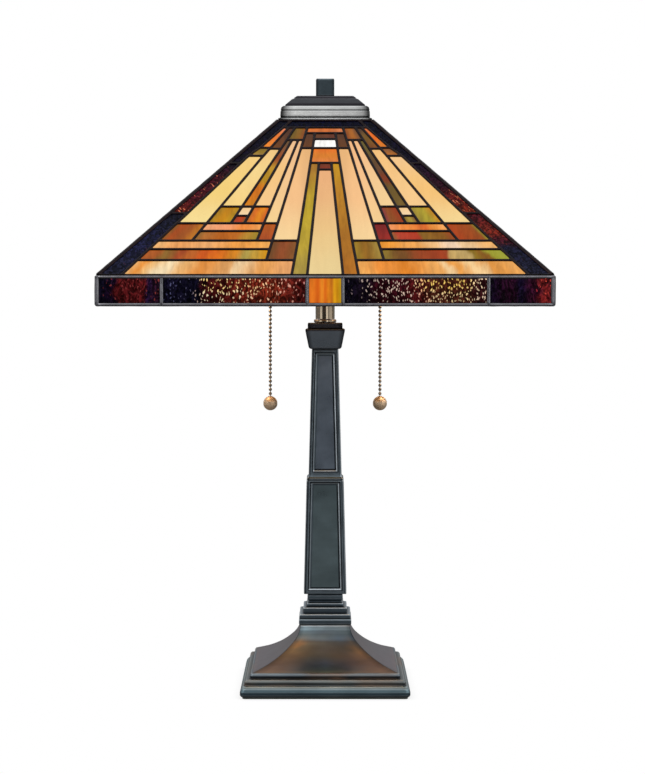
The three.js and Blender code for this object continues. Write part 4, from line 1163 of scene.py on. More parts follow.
def skirt_side(k, side):
    turn = (1, -1, 1, -1)[k]

    def tone(x, z, u, v, seed):
        xx = turn * x + 5 * snoise(x * 0.05 + seed, z * 0.12, 1.0)
        if abs(abs(turn * x) - 141.5) < 6 or abs(turn * x) < 22:
            xx = turn * x
        c = ramp_at([(p, lin(q)) for p, q in SKIRT_TONE], xx)
        # painted glow: the glass brighter towards the top of the skirt, nearer the bulbs
        return c * (1 + 0.5 * snoise(x * 0.12, z * 0.1, seed + 2)) * (0.8 + 0.5 * v)

    def extra(x, z, v, seed):
        xx = turn * x
        # painted glow: flecks denser and brighter towards the top, golden where a bulb shines through
        d = float(ramp_at(SKIRT_DENSE, xx)) * (0.82 + 0.3 * v)
        c = ramp_at([(p, lin(q)) for p, q in SKIRT_SPARK], xx) * (0.72 + 0.4 * v)
        g = float(ramp_at(GOLDEN, xx)) * max(0.0, min(1.0, (v - 0.42 + 0.2 * snoise(x * 0.09, z * 0.1, seed)) / 0.2))
        c = c + (np.array(lin((255, 214, 110))) - c) * g
        d = d + (0.97 - d) * g * 0.8
        return (d, c)

    sv, sf, sc, dn, sp, n = [], [], [], [], [], 0
    for x0, x1 in PANES:
        v, f, c, more = skirt_pane(x0, x1, 1.5, k, 0.34, tone, extra)
        sv.append(v); sc.append(c)
        sf += [tuple(q + n for q in t) for t in f]
        n += len(v)
        dn += [a for a, _ in more]
        sp += [b for _, b in more]
    V = turn_z(np.concatenate(sv), k) * MM
    ob = make_mesh(f"skirt_panes_{side}", V, sf, colors=np.concatenate(sc), sharp_deg=50, attrs={"dense": dn})
    a = ob.data.color_attributes.new("spark", "FLOAT_COLOR", "POINT")
    c = np.ones((len(ob.data.vertices), 4), np.float32)
    c[:, :3] = np.array(sp)
    a.data.foreach_set("color", c.ravel())
    flip_if_needed(ob)
    ob.data.materials.append(MAT["ripple"])
    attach(ob, "shade")
    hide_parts(f"skirt_glass_{side}")
    v, f, c, _ = skirt_pane(-15.5, 15.5, 1.2, k, 0.12, lambda x, z, u, v, seed: ramp_at([(p, lin(q)) for p, q in MID_TONES], u if turn > 0 else 1 - u))
    ob = make_mesh(f"skirt_mid_pane_{side}", turn_z(v, k) * MM, f, colors=c, sharp_deg=50)
    flip_if_needed(ob)
    ob.data.materials.append(MAT["glass_strip" + ("_side" if k % 2 else "")])
    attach(ob, "shade")
    # upright solder lines, front and back of the glass, and the corner post
    soup = Soup()
    for x in (-141.5, -15.5, 15.5, 141.5):
        for y, hgt in ((-SHADE_R + 0.2, 1.2), (-SHADE_R + GLASS_T, 1.0)):
            path = [np.array([x + 0.12 * snoise(z * 0.3, x, k), y, z]) for z in np.linspace(368.2, 392.4, 9)]
            v, f = sweep(path, oval(1.75, hgt, 12), up=(0, -1, 0), jitter=0.1, seed=x)
            soup.add(turn_z(v, k), f)
    path = [np.array([SHADE_R - 1.6, -SHADE_R + 1.6, z]) for z in np.linspace(368.2, 392.6, 9)]
    v, f = sweep(path, oval(2.3, 2.3, 14), up=(0, -1, 0), jitter=0.08, seed=k * 2.0)
    soup.add(turn_z(v, k), f)
    ob = soup.build(f"skirt_solder_{side}", sharp_deg=60)
    flip_if_needed(ob)
    bead_light_tone(ob, k)
    ob.data.materials.append(MAT["rim"])
    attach(ob, "shade")


for k, side in enumerate(SIDES):
    skirt_side(k, side)

# ---------------------------------------------------------------- cap and finial
cap_prof = rounded_profile([
    (44.2, 541.6), (44.2, 543.2, 0.4), (42.6, 543.6, 0.2), (42.0, 544.6, 0.3), (42.3, 545.2, 0.3), (42.1, 549.6, 0.5), (41.7, 550.6, 0.4), (41.9, 551.6, 0.4), (41.2, 553.9, 1.2),
    (39.4, 555.2, 0.8), (37.9, 555.5, 0.3), (37.6, 556.6, 0.3), (31.6, 562.2, 1.0), (29.6, 563.2, 0.4), (29.2, 564.0, 0.4), (26.9, 565.8, 0.6),
    (5.7, 565.8, 0.2), (5.7, 563.3, 0), (26.0, 563.3, 0), (35.6, 554.0, 0), (38.8, 551.6, 0), (39.6, 541.6, 0.2),
], 0.4, 3, closed=True)
# colours up the cap by height: a dark crown, with light bands of painted reflection on the flange and the ovolo band
# and dark lines of painted shade under the steps
CAP_TONES_AND_REFLECTIONS = [(541.0, (50, 52, 56)), (541.7, (30, 31, 34)), (542.0, (206, 205, 203)), (543.3, (212, 211, 209)), (543.6, (16, 17, 19)), (544.5, (18, 19, 21)), (545.1, (184, 183, 181)),
             (547.0, (240, 238, 234)), (549.4, (230, 228, 224)), (550.4, (146, 146, 145)), (550.9, (112, 112, 112)), (551.6, (178, 177, 175)), (553.4, (176, 175, 173)), (554.4, (222, 220, 217)),
             (555.2, (120, 120, 122)), (555.5, (28, 27, 30)), (556.4, (40, 37, 42)), (560.0, (46, 43, 49)), (564.6, (43, 40, 45)), (565.4, (74, 73, 78)), (565.8, (34, 33, 36)), (570.0, (40, 38, 43))]


def cap_shading_paint(x, y, h, z, t):
    u = max(abs(x), abs(y)) and min(abs(x), abs(y)) / max(abs(x), abs(y))
    # painted reflection on the flange and band, fading towards the corners
    if z < 555.4 and h > 36:
        t = t * (1 - 0.42 * max(0.0, min(1.0, (u - 0.78) / 0.17)))
    # painted shade: a dark line along each corner
    if u > 0.96:
        t = t * 0.4
    return t * (1 + 0.06 * snoise(x * 0.3, y * 0.3, z * 0.4))


pts = [tuple(q) for q in resample(list(cap_prof) + [cap_prof[0]], 0.5)[:-1]]
tns = [ramp_at(CAP_TONES_AND_REFLECTIONS, z, False) if not (z < 563 and h < 36) else (60, 60, 64) for h, z in pts]
ob = square_loft("shade_cap_casting", pts, corner=lambda h, z: 1.6 if h > 24 else 0.4, seg=6, side=14, tones=tns, paint=cap_shading_paint)
ob.data.materials.append(MAT["cap"])
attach(ob, "shade"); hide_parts("shade_cap")

fin_prof = rounded_profile([
    (5.4, 566.1), (7.6, 566.1, 0.2), (7.7, 567.5, 0.3), (8.8, 568.1, 0.3), (8.8, 583.0, 0.5), (8.2, 584.2, 0.4), (2.2, 584.4, 0.3), (0.3, 584.4, 0),
    (0.3, 578.2, 0), (5.4, 578.0, 0.1),
], 0.3, 3, closed=True)
# painted highlight on the raised edges, painted shade in the creases, painted top light
pts, tns = wear_and_light_tones(fin_prof, (82, 93, 99), (140, 148, 153), (24, 27, 31))


def dark_edge_shade(near, depth=0.5, least=6):
    """Painted shade: dark lines beside the upright edges of a square section."""
    def paint(x, y, h, z, t):
        if h < least:
            return t
        inside = h - min(abs(x), abs(y))
        return t * (1 - depth * math.exp(-(inside / near) ** 2))
    return paint


ob = square_loft("finial_block", pts, corner=lambda h, z: 0.9 if h > 6 else 0.2, seg=5, side=8, tones=tns, paint=dark_edge_shade(1.3, 0.55))
ob.data.materials.append(MAT["column"])
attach(ob, "finial"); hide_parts("finial")

# ------------------------------------------------------------------- base, column
flare = curve_profile([(67.2, 23.0), (61.8, 25.0), (54.9, 27.75), (49.0, 30.8), (44.4, 33.5), (40.5, 36.2), (37.3, 38.7), (34.5, 41.2),
                       (32.0, 43.6), (29.7, 46.0), (27.8, 48.6), (26.1, 51.4), (24.8, 54.6), (24.1, 57.4), (23.8, 59.9)], 1.6)
low_prof = rounded_profile([
    (74.5, 1.8, 0), (78.6, 1.8, 0.6), (79.6, 3.4, 1.6), (79.6, 6.4, 3.0), (78.6, 9.4, 3.0), (76.9, 11.4, 1.4), (75.9, 11.8, 0.2), (75.2, 13.0, 0.3), (75.3, 13.6, 0.2),
    (75.2, 15.6, 1.2), (74.0, 17.2, 0.8), (71.2, 17.8, 0.3), (70.3, 18.6, 0.2), (70.4, 20.6, 1.2), (69.5, 22.3, 0.7), (68.4, 22.6, 0.1),
], 0.4, 4)
base_prof = list(low_prof) + flare + [(6.0, 60.0), (6.0, 54.0), (19.0, 54.0), (21.0, 48.5), (26.0, 42.0), (33.0, 36.0), (42.0, 29.5), (54.0, 23.0), (66.0, 17.0), (71.5, 12.0), (74.0, 9.0)]
# colours up the flare: patina tones, lighter towards the top as painted sheen where the upper flare faces the light
FLARE_TONES = [(22.8, (112, 92, 82)), (24.5, (76, 73, 77)), (29.0, (76, 73, 78)), (34.0, (84, 80, 78)), (40.0, (94, 90, 83)), (45.0, (102, 101, 96)),
               (50.0, (112, 117, 117)), (55.0, (128, 140, 144)), (60.5, (158, 174, 178))]


# painted light over the flare's front faces, as gains: height, then the left, the middle and the right of a face
FLARE_LIGHT_GAIN = [(24.0, (1.0, 1.15, 1.16), (1.12, 1.38, 1.4), (0.92, 1.02, 1.04)), (29.0, (0.99, 1.13, 1.17), (1.05, 1.23, 1.4), (0.91, 0.97, 1.07)),
               (34.0, (1.1, 1.16, 1.18), (0.97, 1.07, 1.14), (0.93, 0.94, 0.98)), (39.0, (1.11, 1.19, 1.26), (0.93, 1.03, 1.2), (0.81, 0.88, 1.0)),
               (44.0, (1.2, 1.2, 1.21), (0.9, 0.98, 1.08), (0.74, 0.85, 1.05)), (46.6, (1.09, 1.09, 1.11), (0.89, 0.96, 1.06), (0.68, 0.82, 1.02)),
               (49.0, (0.95, 0.98, 1.02), (0.8, 0.84, 0.86), (0.63, 0.72, 0.84)), (51.6, (0.79, 0.82, 0.82), (0.71, 0.7, 0.7), (0.6, 0.65, 0.69)),
               (54.0, (0.86, 0.9, 0.92), (0.77, 0.76, 0.77), (0.69, 0.71, 0.71)), (57.0, (1.3, 1.34, 1.36), (1.0, 1.0, 1.0), (0.96, 0.95, 0.95)),
               (60.0, (1.45, 1.45, 1.45), (1.22, 1.2, 1.2), (1.12, 1.06, 1.04))]


def flare_light_gain(x, z):
    for lo, hi in zip(FLARE_LIGHT_GAIN[:-1], FLARE_LIGHT_GAIN[1:]):
        if z <= hi[0] or hi is FLARE_LIGHT_GAIN[-1]:
            k = max(0.0, min(1.0, (z - lo[0]) / (hi[0] - lo[0])))
            l, c, r = (np.array(a) * (1 - k) + np.array(b) * k for a, b in zip(lo[1:], hi[1:]))
            g = max(-1.0, min(1.0, x / 21.0))
            return c + (r - c) * g if g > 0 else c + (l - c) * -g


def foot_body(h, z):
    if h < 22 and z < 54:
        return (70, 72, 74)
    if z > 22.8:
        return ramp_at(FLARE_TONES, z, False)
    if z > 17.8:
        return (62, 72, 80)
    if z > 12.4:
        return (74, 79, 79)
    # the bottom bead lighter towards its top: painted top light
    return ramp_at([(1.8, (50, 60, 68)), (4.5, (62, 80, 90)), (7.5, (75, 92, 98)), (9.5, (90, 102, 106)), (11.0, (112, 122, 122))], z, False)


def foot_paint(x, y, h, z, t):
    """Copper showing through the patina in soft patches, most of it low on the flare; on the front faces a painted warm
    reflection along the hips and painted light gains, the side faces a painted grazing tone, and painted shade along
    the upright corners.
    """
    front = abs(y) >= abs(x)
    u = (x if front else y) / max(h, 1e-6)
    n1 = snoise(x * 0.045, y * 0.045, z * 0.07)
    n2 = snoise(x * 0.16 + 9, y * 0.16, z * 0.22)
    if z > 22.8 and h > 22:
        if front:
            # painted warm reflection of the glowing shade along the hips
            edge_k = math.exp(-((abs(u) - 0.8) / 0.17) ** 2) * math.exp(-((z - 41) / 8.0) ** 2)
            t = t + (np.array((150, 114, 78)) - t) * min(1.0, 0.8 * edge_k * (1 + 0.8 * n2))
            t = t + (np.array((104, 87, 68)) - t) * max(0.0, min(0.5, n1 * 0.7)) * max(0.0, min(1.0, (52 - z) / 14.0))
        else:
            # side faces: a painted tone for how they look at a grazing angle
            t = t + (np.array((104, 92, 97)) - t) * 0.75
        if front:
            # painted light gains over the front face
            t = t * flare_light_gain(x, z)
            low = math.exp(-((z - 25.5) / 4.5) ** 2) * max(0.0, min(1.0, (abs(x) - 20) / 22))
            t = t + (np.array((138, 98, 70)) - t) * 0.6 * low
            t = t + (np.array((104, 88, 80)) - t) * 0.5 * max(0.0, min(1.0, (abs(x) - 16) / 14)) * math.exp(-((z - 31.0) / 6.0) ** 2)
        # painted shade: a dark line along the upright corners
        side_mm = h - abs(u) * h
        t = t * (1 - 0.6 * math.exp(-(side_mm / 0.9) ** 2))
    elif z > 11.6 and h > 60:
        t = t + (np.array((128, 96, 74)) - t) * max(0.0, min(0.5, n1 * 1.3))
    return np.clip(t * (1 + 0.05 * n2), 0, 255)


# painted highlight along the raised edges of the beads and steps, painted shade in the creases, painted top light
pts, tns = wear_and_light_tones(base_prof, foot_body, (236, 236, 232), (20, 17, 18), step=0.5, reach=1.1, up=0.2)
ob = square_loft("base_foot_casting", pts, corner=lambda h, z: 0.9 if (z > 22.7 and h > 20) else (4.2 if h > 75.8 else (2.0 if h > 20 else 0.3)), seg=6, side=12, tones=tns, paint=foot_paint)
ob.data.materials.append(MAT["bronze_foot"])
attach(ob, "stand"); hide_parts("base_casting")

# a painted highlight tone, the body colour and a painted crease shade tone
RUB_HIGHLIGHT, BODY, CREASE_SHADE = (196, 203, 208), (112, 123, 130), (30, 34, 40)
collar_prof = rounded_profile([
    (5.6, 60.3, 0), (24.4, 60.3, 0.3), (25.1, 61.4, 1.2), (25.1, 65.4, 1.6), (24.2, 66.6, 0.2), (24.4, 67.6, 0.3), (24.4, 70.7, 1.2), (21.3, 71.4, 0.3), (20.9, 72.2, 0.3),
    (20.9, 76.5, 0.6), (18.2, 77.2, 0.3), (17.7, 77.8, 0.3), (17.5, 80.2, 0.5), (15.9, 81.2, 0.4), (15.6, 83.0, 0.4), (16.3, 83.5, 0.4),
    (17.0, 84.8, 0.9), (17.0, 87.6, 0.9), (16.2, 89.0, 0.5), (15.8, 89.4, 0.1), (5.6, 89.4, 0)], 0.4, 3, closed=True)
# white painted highlight along each step's upper edge, near-black painted shade in the creases, strong painted top
# light
pts, tns = wear_and_light_tones(collar_prof, (84, 96, 104), (250, 252, 252), (6, 8, 10), step=0.4, reach=1.05, up=0.35)
ob = square_loft("collar_casting", pts, corner=lambda h, z: 0.9 if h > 8 else 0.3, seg=5, tones=tns)
ob.data.materials.append(MAT["column"])
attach(ob, "stand"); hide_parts("stepped_collar")

cap2 = rounded_profile([
    (5.6, 324.9, 0), (13.8, 324.9, 0.4), (15.2, 325.6, 0.6), (15.9, 327.0, 0.6), (18.95, 342.4, 0.8), (18.95, 343.8, 0.5), (17.0, 344.4, 0.3),
    (16.7, 345.0, 0.3), (16.7, 349.3, 0.5), (16.2, 349.8, 0.2), (5.6, 349.8, 0)], 0.4, 3, closed=True)
# painted shade, near black, in the creases
pts, tns = wear_and_light_tones(cap2, lambda h, z: (116, 123, 131) if z < 342 else (74, 76, 84), (120, 123, 129), (10, 11, 13), step=0.5, reach=0.9, up=0.0)
ob = square_loft("capital_casting", pts, corner=lambda h, z: 0.9 if h > 8 else 0.3, seg=5, side=8, tones=tns, paint=dark_edge_shade(1.5, 0.6, 8))
ob.data.materials.append(MAT["column"])
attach(ob, "stand"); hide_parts("column_capital")


GROOVE_SHADE = (36, 40, 45)
FIELD = (98, 109, 114)
# how deep the surface lies and its tone, by the distance inside the panel's outline (mm): a dark groove of painted
# shade, then a bead of painted highlight, brighter along the right and bottom where the light falls;
# offset, depth, tone along the left and top, tone along the right and bottom
PANEL_EDGE = [(-1.5, 0.0, BODY, BODY), (-0.75, 0.0, (120, 130, 136), (112, 122, 128)), (-0.35, 0.06, (22, 25, 29), GROOVE_SHADE), (0.35, 0.4, (22, 25, 29), GROOVE_SHADE),
              (0.7, 0.5, (104, 112, 118), (140, 147, 152)), (1.0, 0.6, (150, 158, 163), (188, 195, 200)), (1.35, 0.76, (138, 146, 151), (192, 199, 204)),
              (1.75, 0.96, (84, 93, 99), (84, 91, 97)), (2.1, 1.08, (74, 83, 89), (24, 27, 31)), (2.75, 1.12, (84, 94, 99), (24, 27, 31)), (3.4, 1.14, FIELD, FIELD)]


def column_stage(name, cad, prof, z0, z1, hw0, hw1, field, chamfer=1.5):
    """A tapered square stage with a sunk panel in each face; its corners are rounded over."""
    def half(z):
        for (h0, a), (h1, b) in zip(prof[:-1], prof[1:]):
            if a <= z <= b:
                return h0 + (h1 - h0) * (z - a) / (b - a)
        return prof[-1][0]

    def panel(z):
        return hw0 + (hw1 - hw0) * (z - z0) / (z1 - z0)

    offs = [e[0] for e in PANEL_EDGE]
    levels = sorted({round(q, 2) for q in np.arange(z0 + 4, z1 - 3.6, 3.0)} | {round(q[1], 3) for q in prof} | {round(z0 + o, 3) for o in offs} | {round(z1 - o, 3) for o in offs}
                    | {round(z0 + (z1 - z0) * t, 3) for t in (0.2, 0.4, 0.6, 0.8)})

    # tone of the panel border: painted groove shade and bead highlight, with lit picking the brighter right and bottom
    # tones
    def edge(d, lit):
        if d <= offs[0]:
            return 0.0, np.array(BODY, float)
        c = 3 if lit else 2
        for a, b in zip(PANEL_EDGE[:-1], PANEL_EDGE[1:]):
            if d <= b[0]:
                t = (d - a[0]) / (b[0] - a[0])
                return a[1] + (b[1] - a[1]) * t, np.array(a[c]) * (1 - t) + np.array(b[c]) * t
        return PANEL_EDGE[-1][1], np.array(FIELD, float)

    verts, cols, rings = [], [], []
    for z in levels:
        H, W = half(z), panel(z)
        r = min(chamfer, H * 0.2)
        flat = H - r
        us = [-flat] + [-(W - o) for o in offs] + [0.0] + [W - o for o in reversed(offs)] + [flat]
        face = []
        for u in us:
            d = min(W - abs(u), z - z0, z1 - z)
            dep, c = edge(d, d == z - z0 or (d != z1 - z and u > 0))
            if d > 2.9:
                c = c * np.array(field)
            if z > prof[-1][1] - 0.4 or z < prof[0][1] + 0.4:
                c = np.array((60, 66, 72), float)
            # painted shade: a dark line where each face meets its rounded corner, darker at the left end
            if abs(abs(u) - flat) < 1e-6:
                c = np.array((56, 63, 69) if u > 0 else (36, 40, 45), float)
            face.append((u, -(H - dep), c))
        arc = []
        # painted highlight across each rounded corner, dark towards the faces
        for a, c in ((-74, (112, 121, 127)), (-52, (186, 193, 198)), (-26, (60, 66, 71))):
            t = math.radians(a)
            arc.append((flat + r * math.cos(t), -flat + r * math.sin(t), np.array(c, float)))
        ring = []
        for k in range(4):
            rot = k * math.pi / 2
            cs, sn = math.cos(rot), math.sin(rot)
            for x, y, c in face + arc:
                ring.append(len(verts))
                verts.append((x * cs - y * sn, x * sn + y * cs, z))
                cols.append(lin(np.clip(np.array(c) * (1 + 0.11 * snoise(x * 0.16 + k * 7, z * 0.05, 3.0) + 0.05 * snoise(x * 0.6, z * 0.2, 8.0)), 0, 255)))
        rings.append(ring)
    m = len(rings[0])
    bore = 5.6
    for z, which in ((levels[-1], 1), (levels[0], 0)):
        ring = []
        for q in (rings[len(levels) - 1] if which else rings[0]):
            x, y, _ = verts[q]
            n = math.hypot(x, y)
            ring.append(len(verts))
            verts.append((x / n * bore, y / n * bore, z))
            cols.append(lin(BODY))
        rings.append(ring)
    faces = []
    order = list(range(len(levels))) + [len(levels), len(levels) + 1, 0]
    for a, b in zip(order[:-1], order[1:]):
        for q in range(m):
            l = (q + 1) % m
            faces.append((rings[a][q], rings[a][l], rings[b][l], rings[b][q]))
    ob = make_mesh(name, np.array(verts) * MM, faces, colors=np.array(cols), sharp_deg=60)
    flip_if_needed(ob)
    weighted(ob)
    ob.data.materials.append(MAT["column"])
    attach(ob, "stand"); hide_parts(cad)
    return ob


column_stage("lower_column_casting", "lower_column", [(20.2, 89.7), (20.4, 90.2), (20.4, 94.8), (17.9, 196.5), (17.9, 197.6), (17.4, 198.9)], 93.0, 197.1, 16.3, 13.9, (1.07, 1.09, 1.07))
column_stage("upper_column_casting", "upper_column", [(17.4, 199.2), (17.7, 199.7), (17.5, 200.6), (16.6, 201.5), (15.9, 202.2), (12.8, 324.3), (12.7, 324.6)], 206.6, 321.2, 12.4, 9.4, (1.25, 1.21, 1.26), chamfer=1.3)

# neck
ob = lathe("neck_ring_turned", rounded_profile([(5.4, 350.1, 0), (10.2, 350.1, 0.4), (10.9, 350.9, 0.5), (10.9, 352.4, 0.5), (10.2, 353.2, 0.4), (5.4, 353.2, 0)], 0.4, 3, closed=True), 64)
ob.data.materials.append(MAT["neck"]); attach(ob, "stand"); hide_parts("neck_ring")
ob = lathe("neck_tube_turned", rounded_profile([(5.4, 353.5, 0), (9.3, 353.5, 0.2), (9.33, 371.0, 0), (9.33, 372.0, 0), (9.3, 395.7, 0.4), (5.4, 395.7, 0)], 0.3, 3, closed=True), 64)
ob.data.materials.append(MAT["neck"]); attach(ob, "stand"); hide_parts("neck_tube")

# ------------------------------------------------------------- cluster and sockets
SOCKET_Z, CHAIN_X = 410.0, 53.0
a = lathe("cluster_a", rounded_profile([(5.4, 396.0, 0), (12.6, 396.0, 0.6), (14.5, 398.4, 0.8), (14.5, 406.0, 0.3), (13.9, 406.8, 0.3), (13.9, 413.2, 0.3), (14.5, 414.0, 0.3), (14.5, 421.6, 0.8), (12.6, 424.0, 0.6), (5.4, 424.0, 0)], 0.4, 3, closed=True), 56)
arms = [lathe(f"cluster_arm{s}", rounded_profile([(0.6, 10.0, 0), (6.4, 10.0, 0.1), (6.4, 16.0, 0.2), (8.0, 16.6, 0.3), (8.0, 22.4, 0.4), (6.4, 23.0, 0.2), (6.4, 24.0, 0.2), (0.6, 24.0, 0)], 0.3, 3, closed=True), 40, axis=s, at=(0, 0, SOCKET_Z)) for s in ("X+", "X-")]
ob = join_objects("socket_cluster", [a] + arms)
ob.data.materials.append(MAT["brass"]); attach(ob, "stand"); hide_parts("cluster_body")

for side, ax, sg in (("left", "X-", -1), ("right", "X+", 1)):
    at = (0, 0, SOCKET_Z)
    ob = lathe(f"socket_cap_shell_{side}", rounded_profile([(5.0, 24.3, 0), (8.6, 24.3, 0.6), (10.4, 25.2, 0.8), (13.4, 27.0, 2.0), (16.2, 31.0, 2.4), (17.1, 34.4, 1.0), (17.1, 36.6, 0.3), (17.6, 37.2, 0.3), (17.6, 39.2, 0.4), (17.2, 40.0, 0.2), (16.4, 40.0, 0), (16.2, 34.5, 0), (12.6, 28.6, 0), (8.6, 25.6, 0), (5.0, 25.6, 0)], 0.4, 3, closed=True), 56, axis=ax, at=at)
    ob.data.materials.append(MAT["brass"]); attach(ob, "stand"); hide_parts(f"socket_cap_{side}")
    ob = lathe(f"socket_shell_body_{side}", rounded_profile([(16.0, 40.3, 0), (17.0, 40.3, 0.2), (17.0, 43.0, 0.4), (17.5, 43.8, 0.4), (17.5, 45.2, 0.4), (17.0, 46.0, 0.4), (17.0, 59.4, 0.4), (16.5, 60.4, 0.3), (16.5, 62.2, 0.3), (17.1, 63.0, 0.4), (17.1, 64.6, 0.4), (16.5, 65.4, 0.3), (16.6, 79.6, 0.3), (17.2, 81.4, 0.5), (17.3, 82.5, 0.3), (16.2, 82.5, 0), (15.7, 80.0, 0), (15.7, 61.0, 0), (16.0, 60.0, 0)], 0.3, 3, closed=True), 56, axis=ax, at=at)
    ob.data.materials.append(MAT["brass"]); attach(ob, "stand"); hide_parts(f"socket_shell_{side}")
    ob = lathe(f"chain_bell_mouth_{side}", rounded_profile([(2.4, 385.0, 0), (4.5, 384.2, 0.2), (5.0, 384.5, 0.3), (4.3, 386.0, 0.8), (3.7, 388.0, 0.6), (3.5, 390.4, 0.3), (4.3, 391.2, 0.3), (4.3, 392.6, 0.2), (2.4, 392.6, 0)], 0.3, 3, closed=True), 36, at=(sg * CHAIN_X, 0, 0))
    ob.data.materials.append(MAT["brass"]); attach(ob, "stand"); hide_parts(f"chain_bell_{side}")
    # bulb: frosted envelope and a rolled screw base with a true spiral
    env = curve_profile([(12.3, 84.3), (12.6, 88.0), (14.6, 94.0), (18.0, 102.0), (21.4, 110.0), (23.4, 117.0), (24.0, 124.0), (23.2, 131.5), (20.6, 138.4), (16.4, 143.8), (10.8, 147.4), (5.0, 148.8)], 1.8)
    inner = [(max(r - 0.9, 0.5), min(x, 147.9)) for r, x in env][::-1]
    ob = lathe(f"bulb_envelope_{side}", [tuple(q) for q in env] + [(0, 149.1), (0, 148.2)] + inner, 48, axis=ax, at=at, sharp=60)
    ob.data.materials.append(MAT["bulb"]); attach(ob, "bulb_" + side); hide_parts(f"bulb_glass_{side}")
    nth, nz = 48, 90
    verts, faces = [], []
    z_a, z_b, pitch = 66.0, 82.5, 3.63
    for j in range(nz + 1):
        z = z_a + (z_b - z_a) * j / nz
        fade = min(1, j / 10, (nz - j) / 10)
        for i in range(nth):
            t = 2 * math.pi * i / nth
            r = 12.75 + 0.45 * fade * math.cos(2 * math.pi * z / pitch - t)
            verts.append((r * math.cos(t), r * math.sin(t), z))
    rows = nz + 1
    for j in range(nz):
        for i in range(nth):
            l = (i + 1) % nth
            faces.append((j * nth + i, j * nth + l, (j + 1) * nth + l, (j + 1) * nth + i))
    def cap_rings(first_row, rz, outward):
        prev = [first_row * nth + i for i in range(nth)]
        for r, z in rz:
            cur = []
            for i in range(nth):
                t = 2 * math.pi * i / nth
                verts.append((r * math.cos(t), r * math.sin(t), z))
                cur.append(len(verts) - 1)
            for i in range(nth):
                l = (i + 1) % nth
                f = (prev[i], prev[l], cur[l], cur[i])
                faces.append(f if outward else tuple(reversed(f)))
            prev = cur
        faces.append(tuple(prev) if outward else tuple(reversed(prev)))
    cap_rings(nz, [(12.9, 83.4), (12.6, 84.0), (6.0, 84.0)], True)
    cap_rings(0, [(12.2, 65.0), (9.6, 63.6), (5.6, 61.8), (4.8, 61.4), (4.6, 60.3), (2.4, 60.0)], False)
    v = np.array(verts)
    v = np.stack([v[:, 2], v[:, 1], -v[:, 0]], 1) if sg > 0 else np.stack([-v[:, 2], v[:, 1], v[:, 0]], 1)
    v = (v + np.array(at)) * MM
    ob = make_mesh(f"bulb_screw_base_{side}", v, faces, sharp_deg=45)
    flip_if_needed(ob)
    ob.data.materials.append(MAT["screw"]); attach(ob, "bulb_" + side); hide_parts(f"bulb_base_{side}")

    # pull chain: beads on links, a crimped coupling above, a ball below
    BALL_Z, BALL_R, CH_TOP = 272.0, 6.9, 375.2
    prof, z = [(0.0, CH_TOP)], CH_TOP
    z = CH_TOP - 0.2
    z_end = BALL_Z + BALL_R + 0.5
    nb = int(round((z - z_end) / 4.0))
    pitch = (z - z_end) / nb
    for b in range(nb):
        zc = z - pitch * (b + 0.5)
        rb = 1.6
        for i in range(9):
            t = math.pi * i / 8
            rr = rb * math.sin(t)
            prof.append((max(rr, 0.42), zc + rb * math.cos(t)))
    prof += [(0.42, z_end - 0.1), (0.0, z_end - 0.2)]
    ob = lathe(f"bead_chain_{side}", prof, 14, sharp=70, closed=False, at=(sg * CHAIN_X, 0, 0))
    ob.data.materials.append(MAT["chain"]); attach(ob, "pull_chain_" + side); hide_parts(f"pull_chain_{side}")
    prof = [(0.0, BALL_Z - BALL_R)]
    for i in range(1, 24):
        t = -math.pi / 2 + math.pi * i / 25
        r, zz = BALL_R * math.cos(t), BALL_Z + BALL_R * math.sin(t)
        if abs(zz - BALL_Z) < 0.5:
            r -= 0.12
        prof.append((r, zz))
    prof += [(1.9, BALL_Z + 6.62), (1.9, BALL_Z + 7.0), (0.9, BALL_Z + 7.2), (0.0, BALL_Z + 7.2)]
    ob = lathe(f"pull_ball_turned_{side}", prof, 40, sharp=50, closed=False, at=(sg * CHAIN_X, 0, 0))
    ob.data.materials.append(MAT["ball"]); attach(ob, "pull_chain_" + side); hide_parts(f"pull_ball_{side}")
    ob = lathe(f"chain_coupling_{side}", [(0.0, 375.5), (0.35, 375.5), (1.3, 376.5), (1.9, 377.3), (2.2, 378.0), (2.0, 378.7), (1.6, 379.2), (1.6, 379.7), (2.0, 380.2), (2.2, 380.9), (1.9, 381.6), (1.3, 382.4), (0.35, 383.3), (0.0, 383.3)], 24, sharp=50, closed=False, at=(sg * CHAIN_X, 0, 0))
    ob.data.materials.append(MAT["brass"]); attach(ob, "pull_link_" + side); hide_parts(f"pull_coupling_{side}")

# felt pad with softly rounded edges
felt_prof = rounded_profile([(0.4, 0.0, 0), (77.2, 0.0, 0.4), (77.5, 1.2, 0.4), (76.9, 1.5, 0.1), (0.4, 1.5, 0)], 0.3, 3, closed=True)
ob = square_loft("felt_sheet", felt_prof, corner=lambda h, z: 2.5 if h > 10 else 0.1, seg=4, side=8)
ob.data.materials.append(MAT["felt"]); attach(ob, "stand"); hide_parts("felt_pad")

# the CAD pieces that keep their own shape
CARRIED = {
    "base_weight": "iron", "pipe_washer": "steel", "pipe_nut": "steel", "lamp_pipe": "steel", "cord_bushing": "plastic",
    "socket_interior_left": "plastic", "socket_interior_right": "plastic", "socket_screw_left": "screw", "socket_screw_right": "screw",
    "riser_rod": "steel", "seat_nut": "steel", "seat_washer": "steel", "pull_stem_left": "brass", "pull_stem_right": "brass",
}
for name, key in CARRIED.items():
    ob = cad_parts[name]
    ob.data.materials.clear()
    ob.data.materials.append(MAT[key])

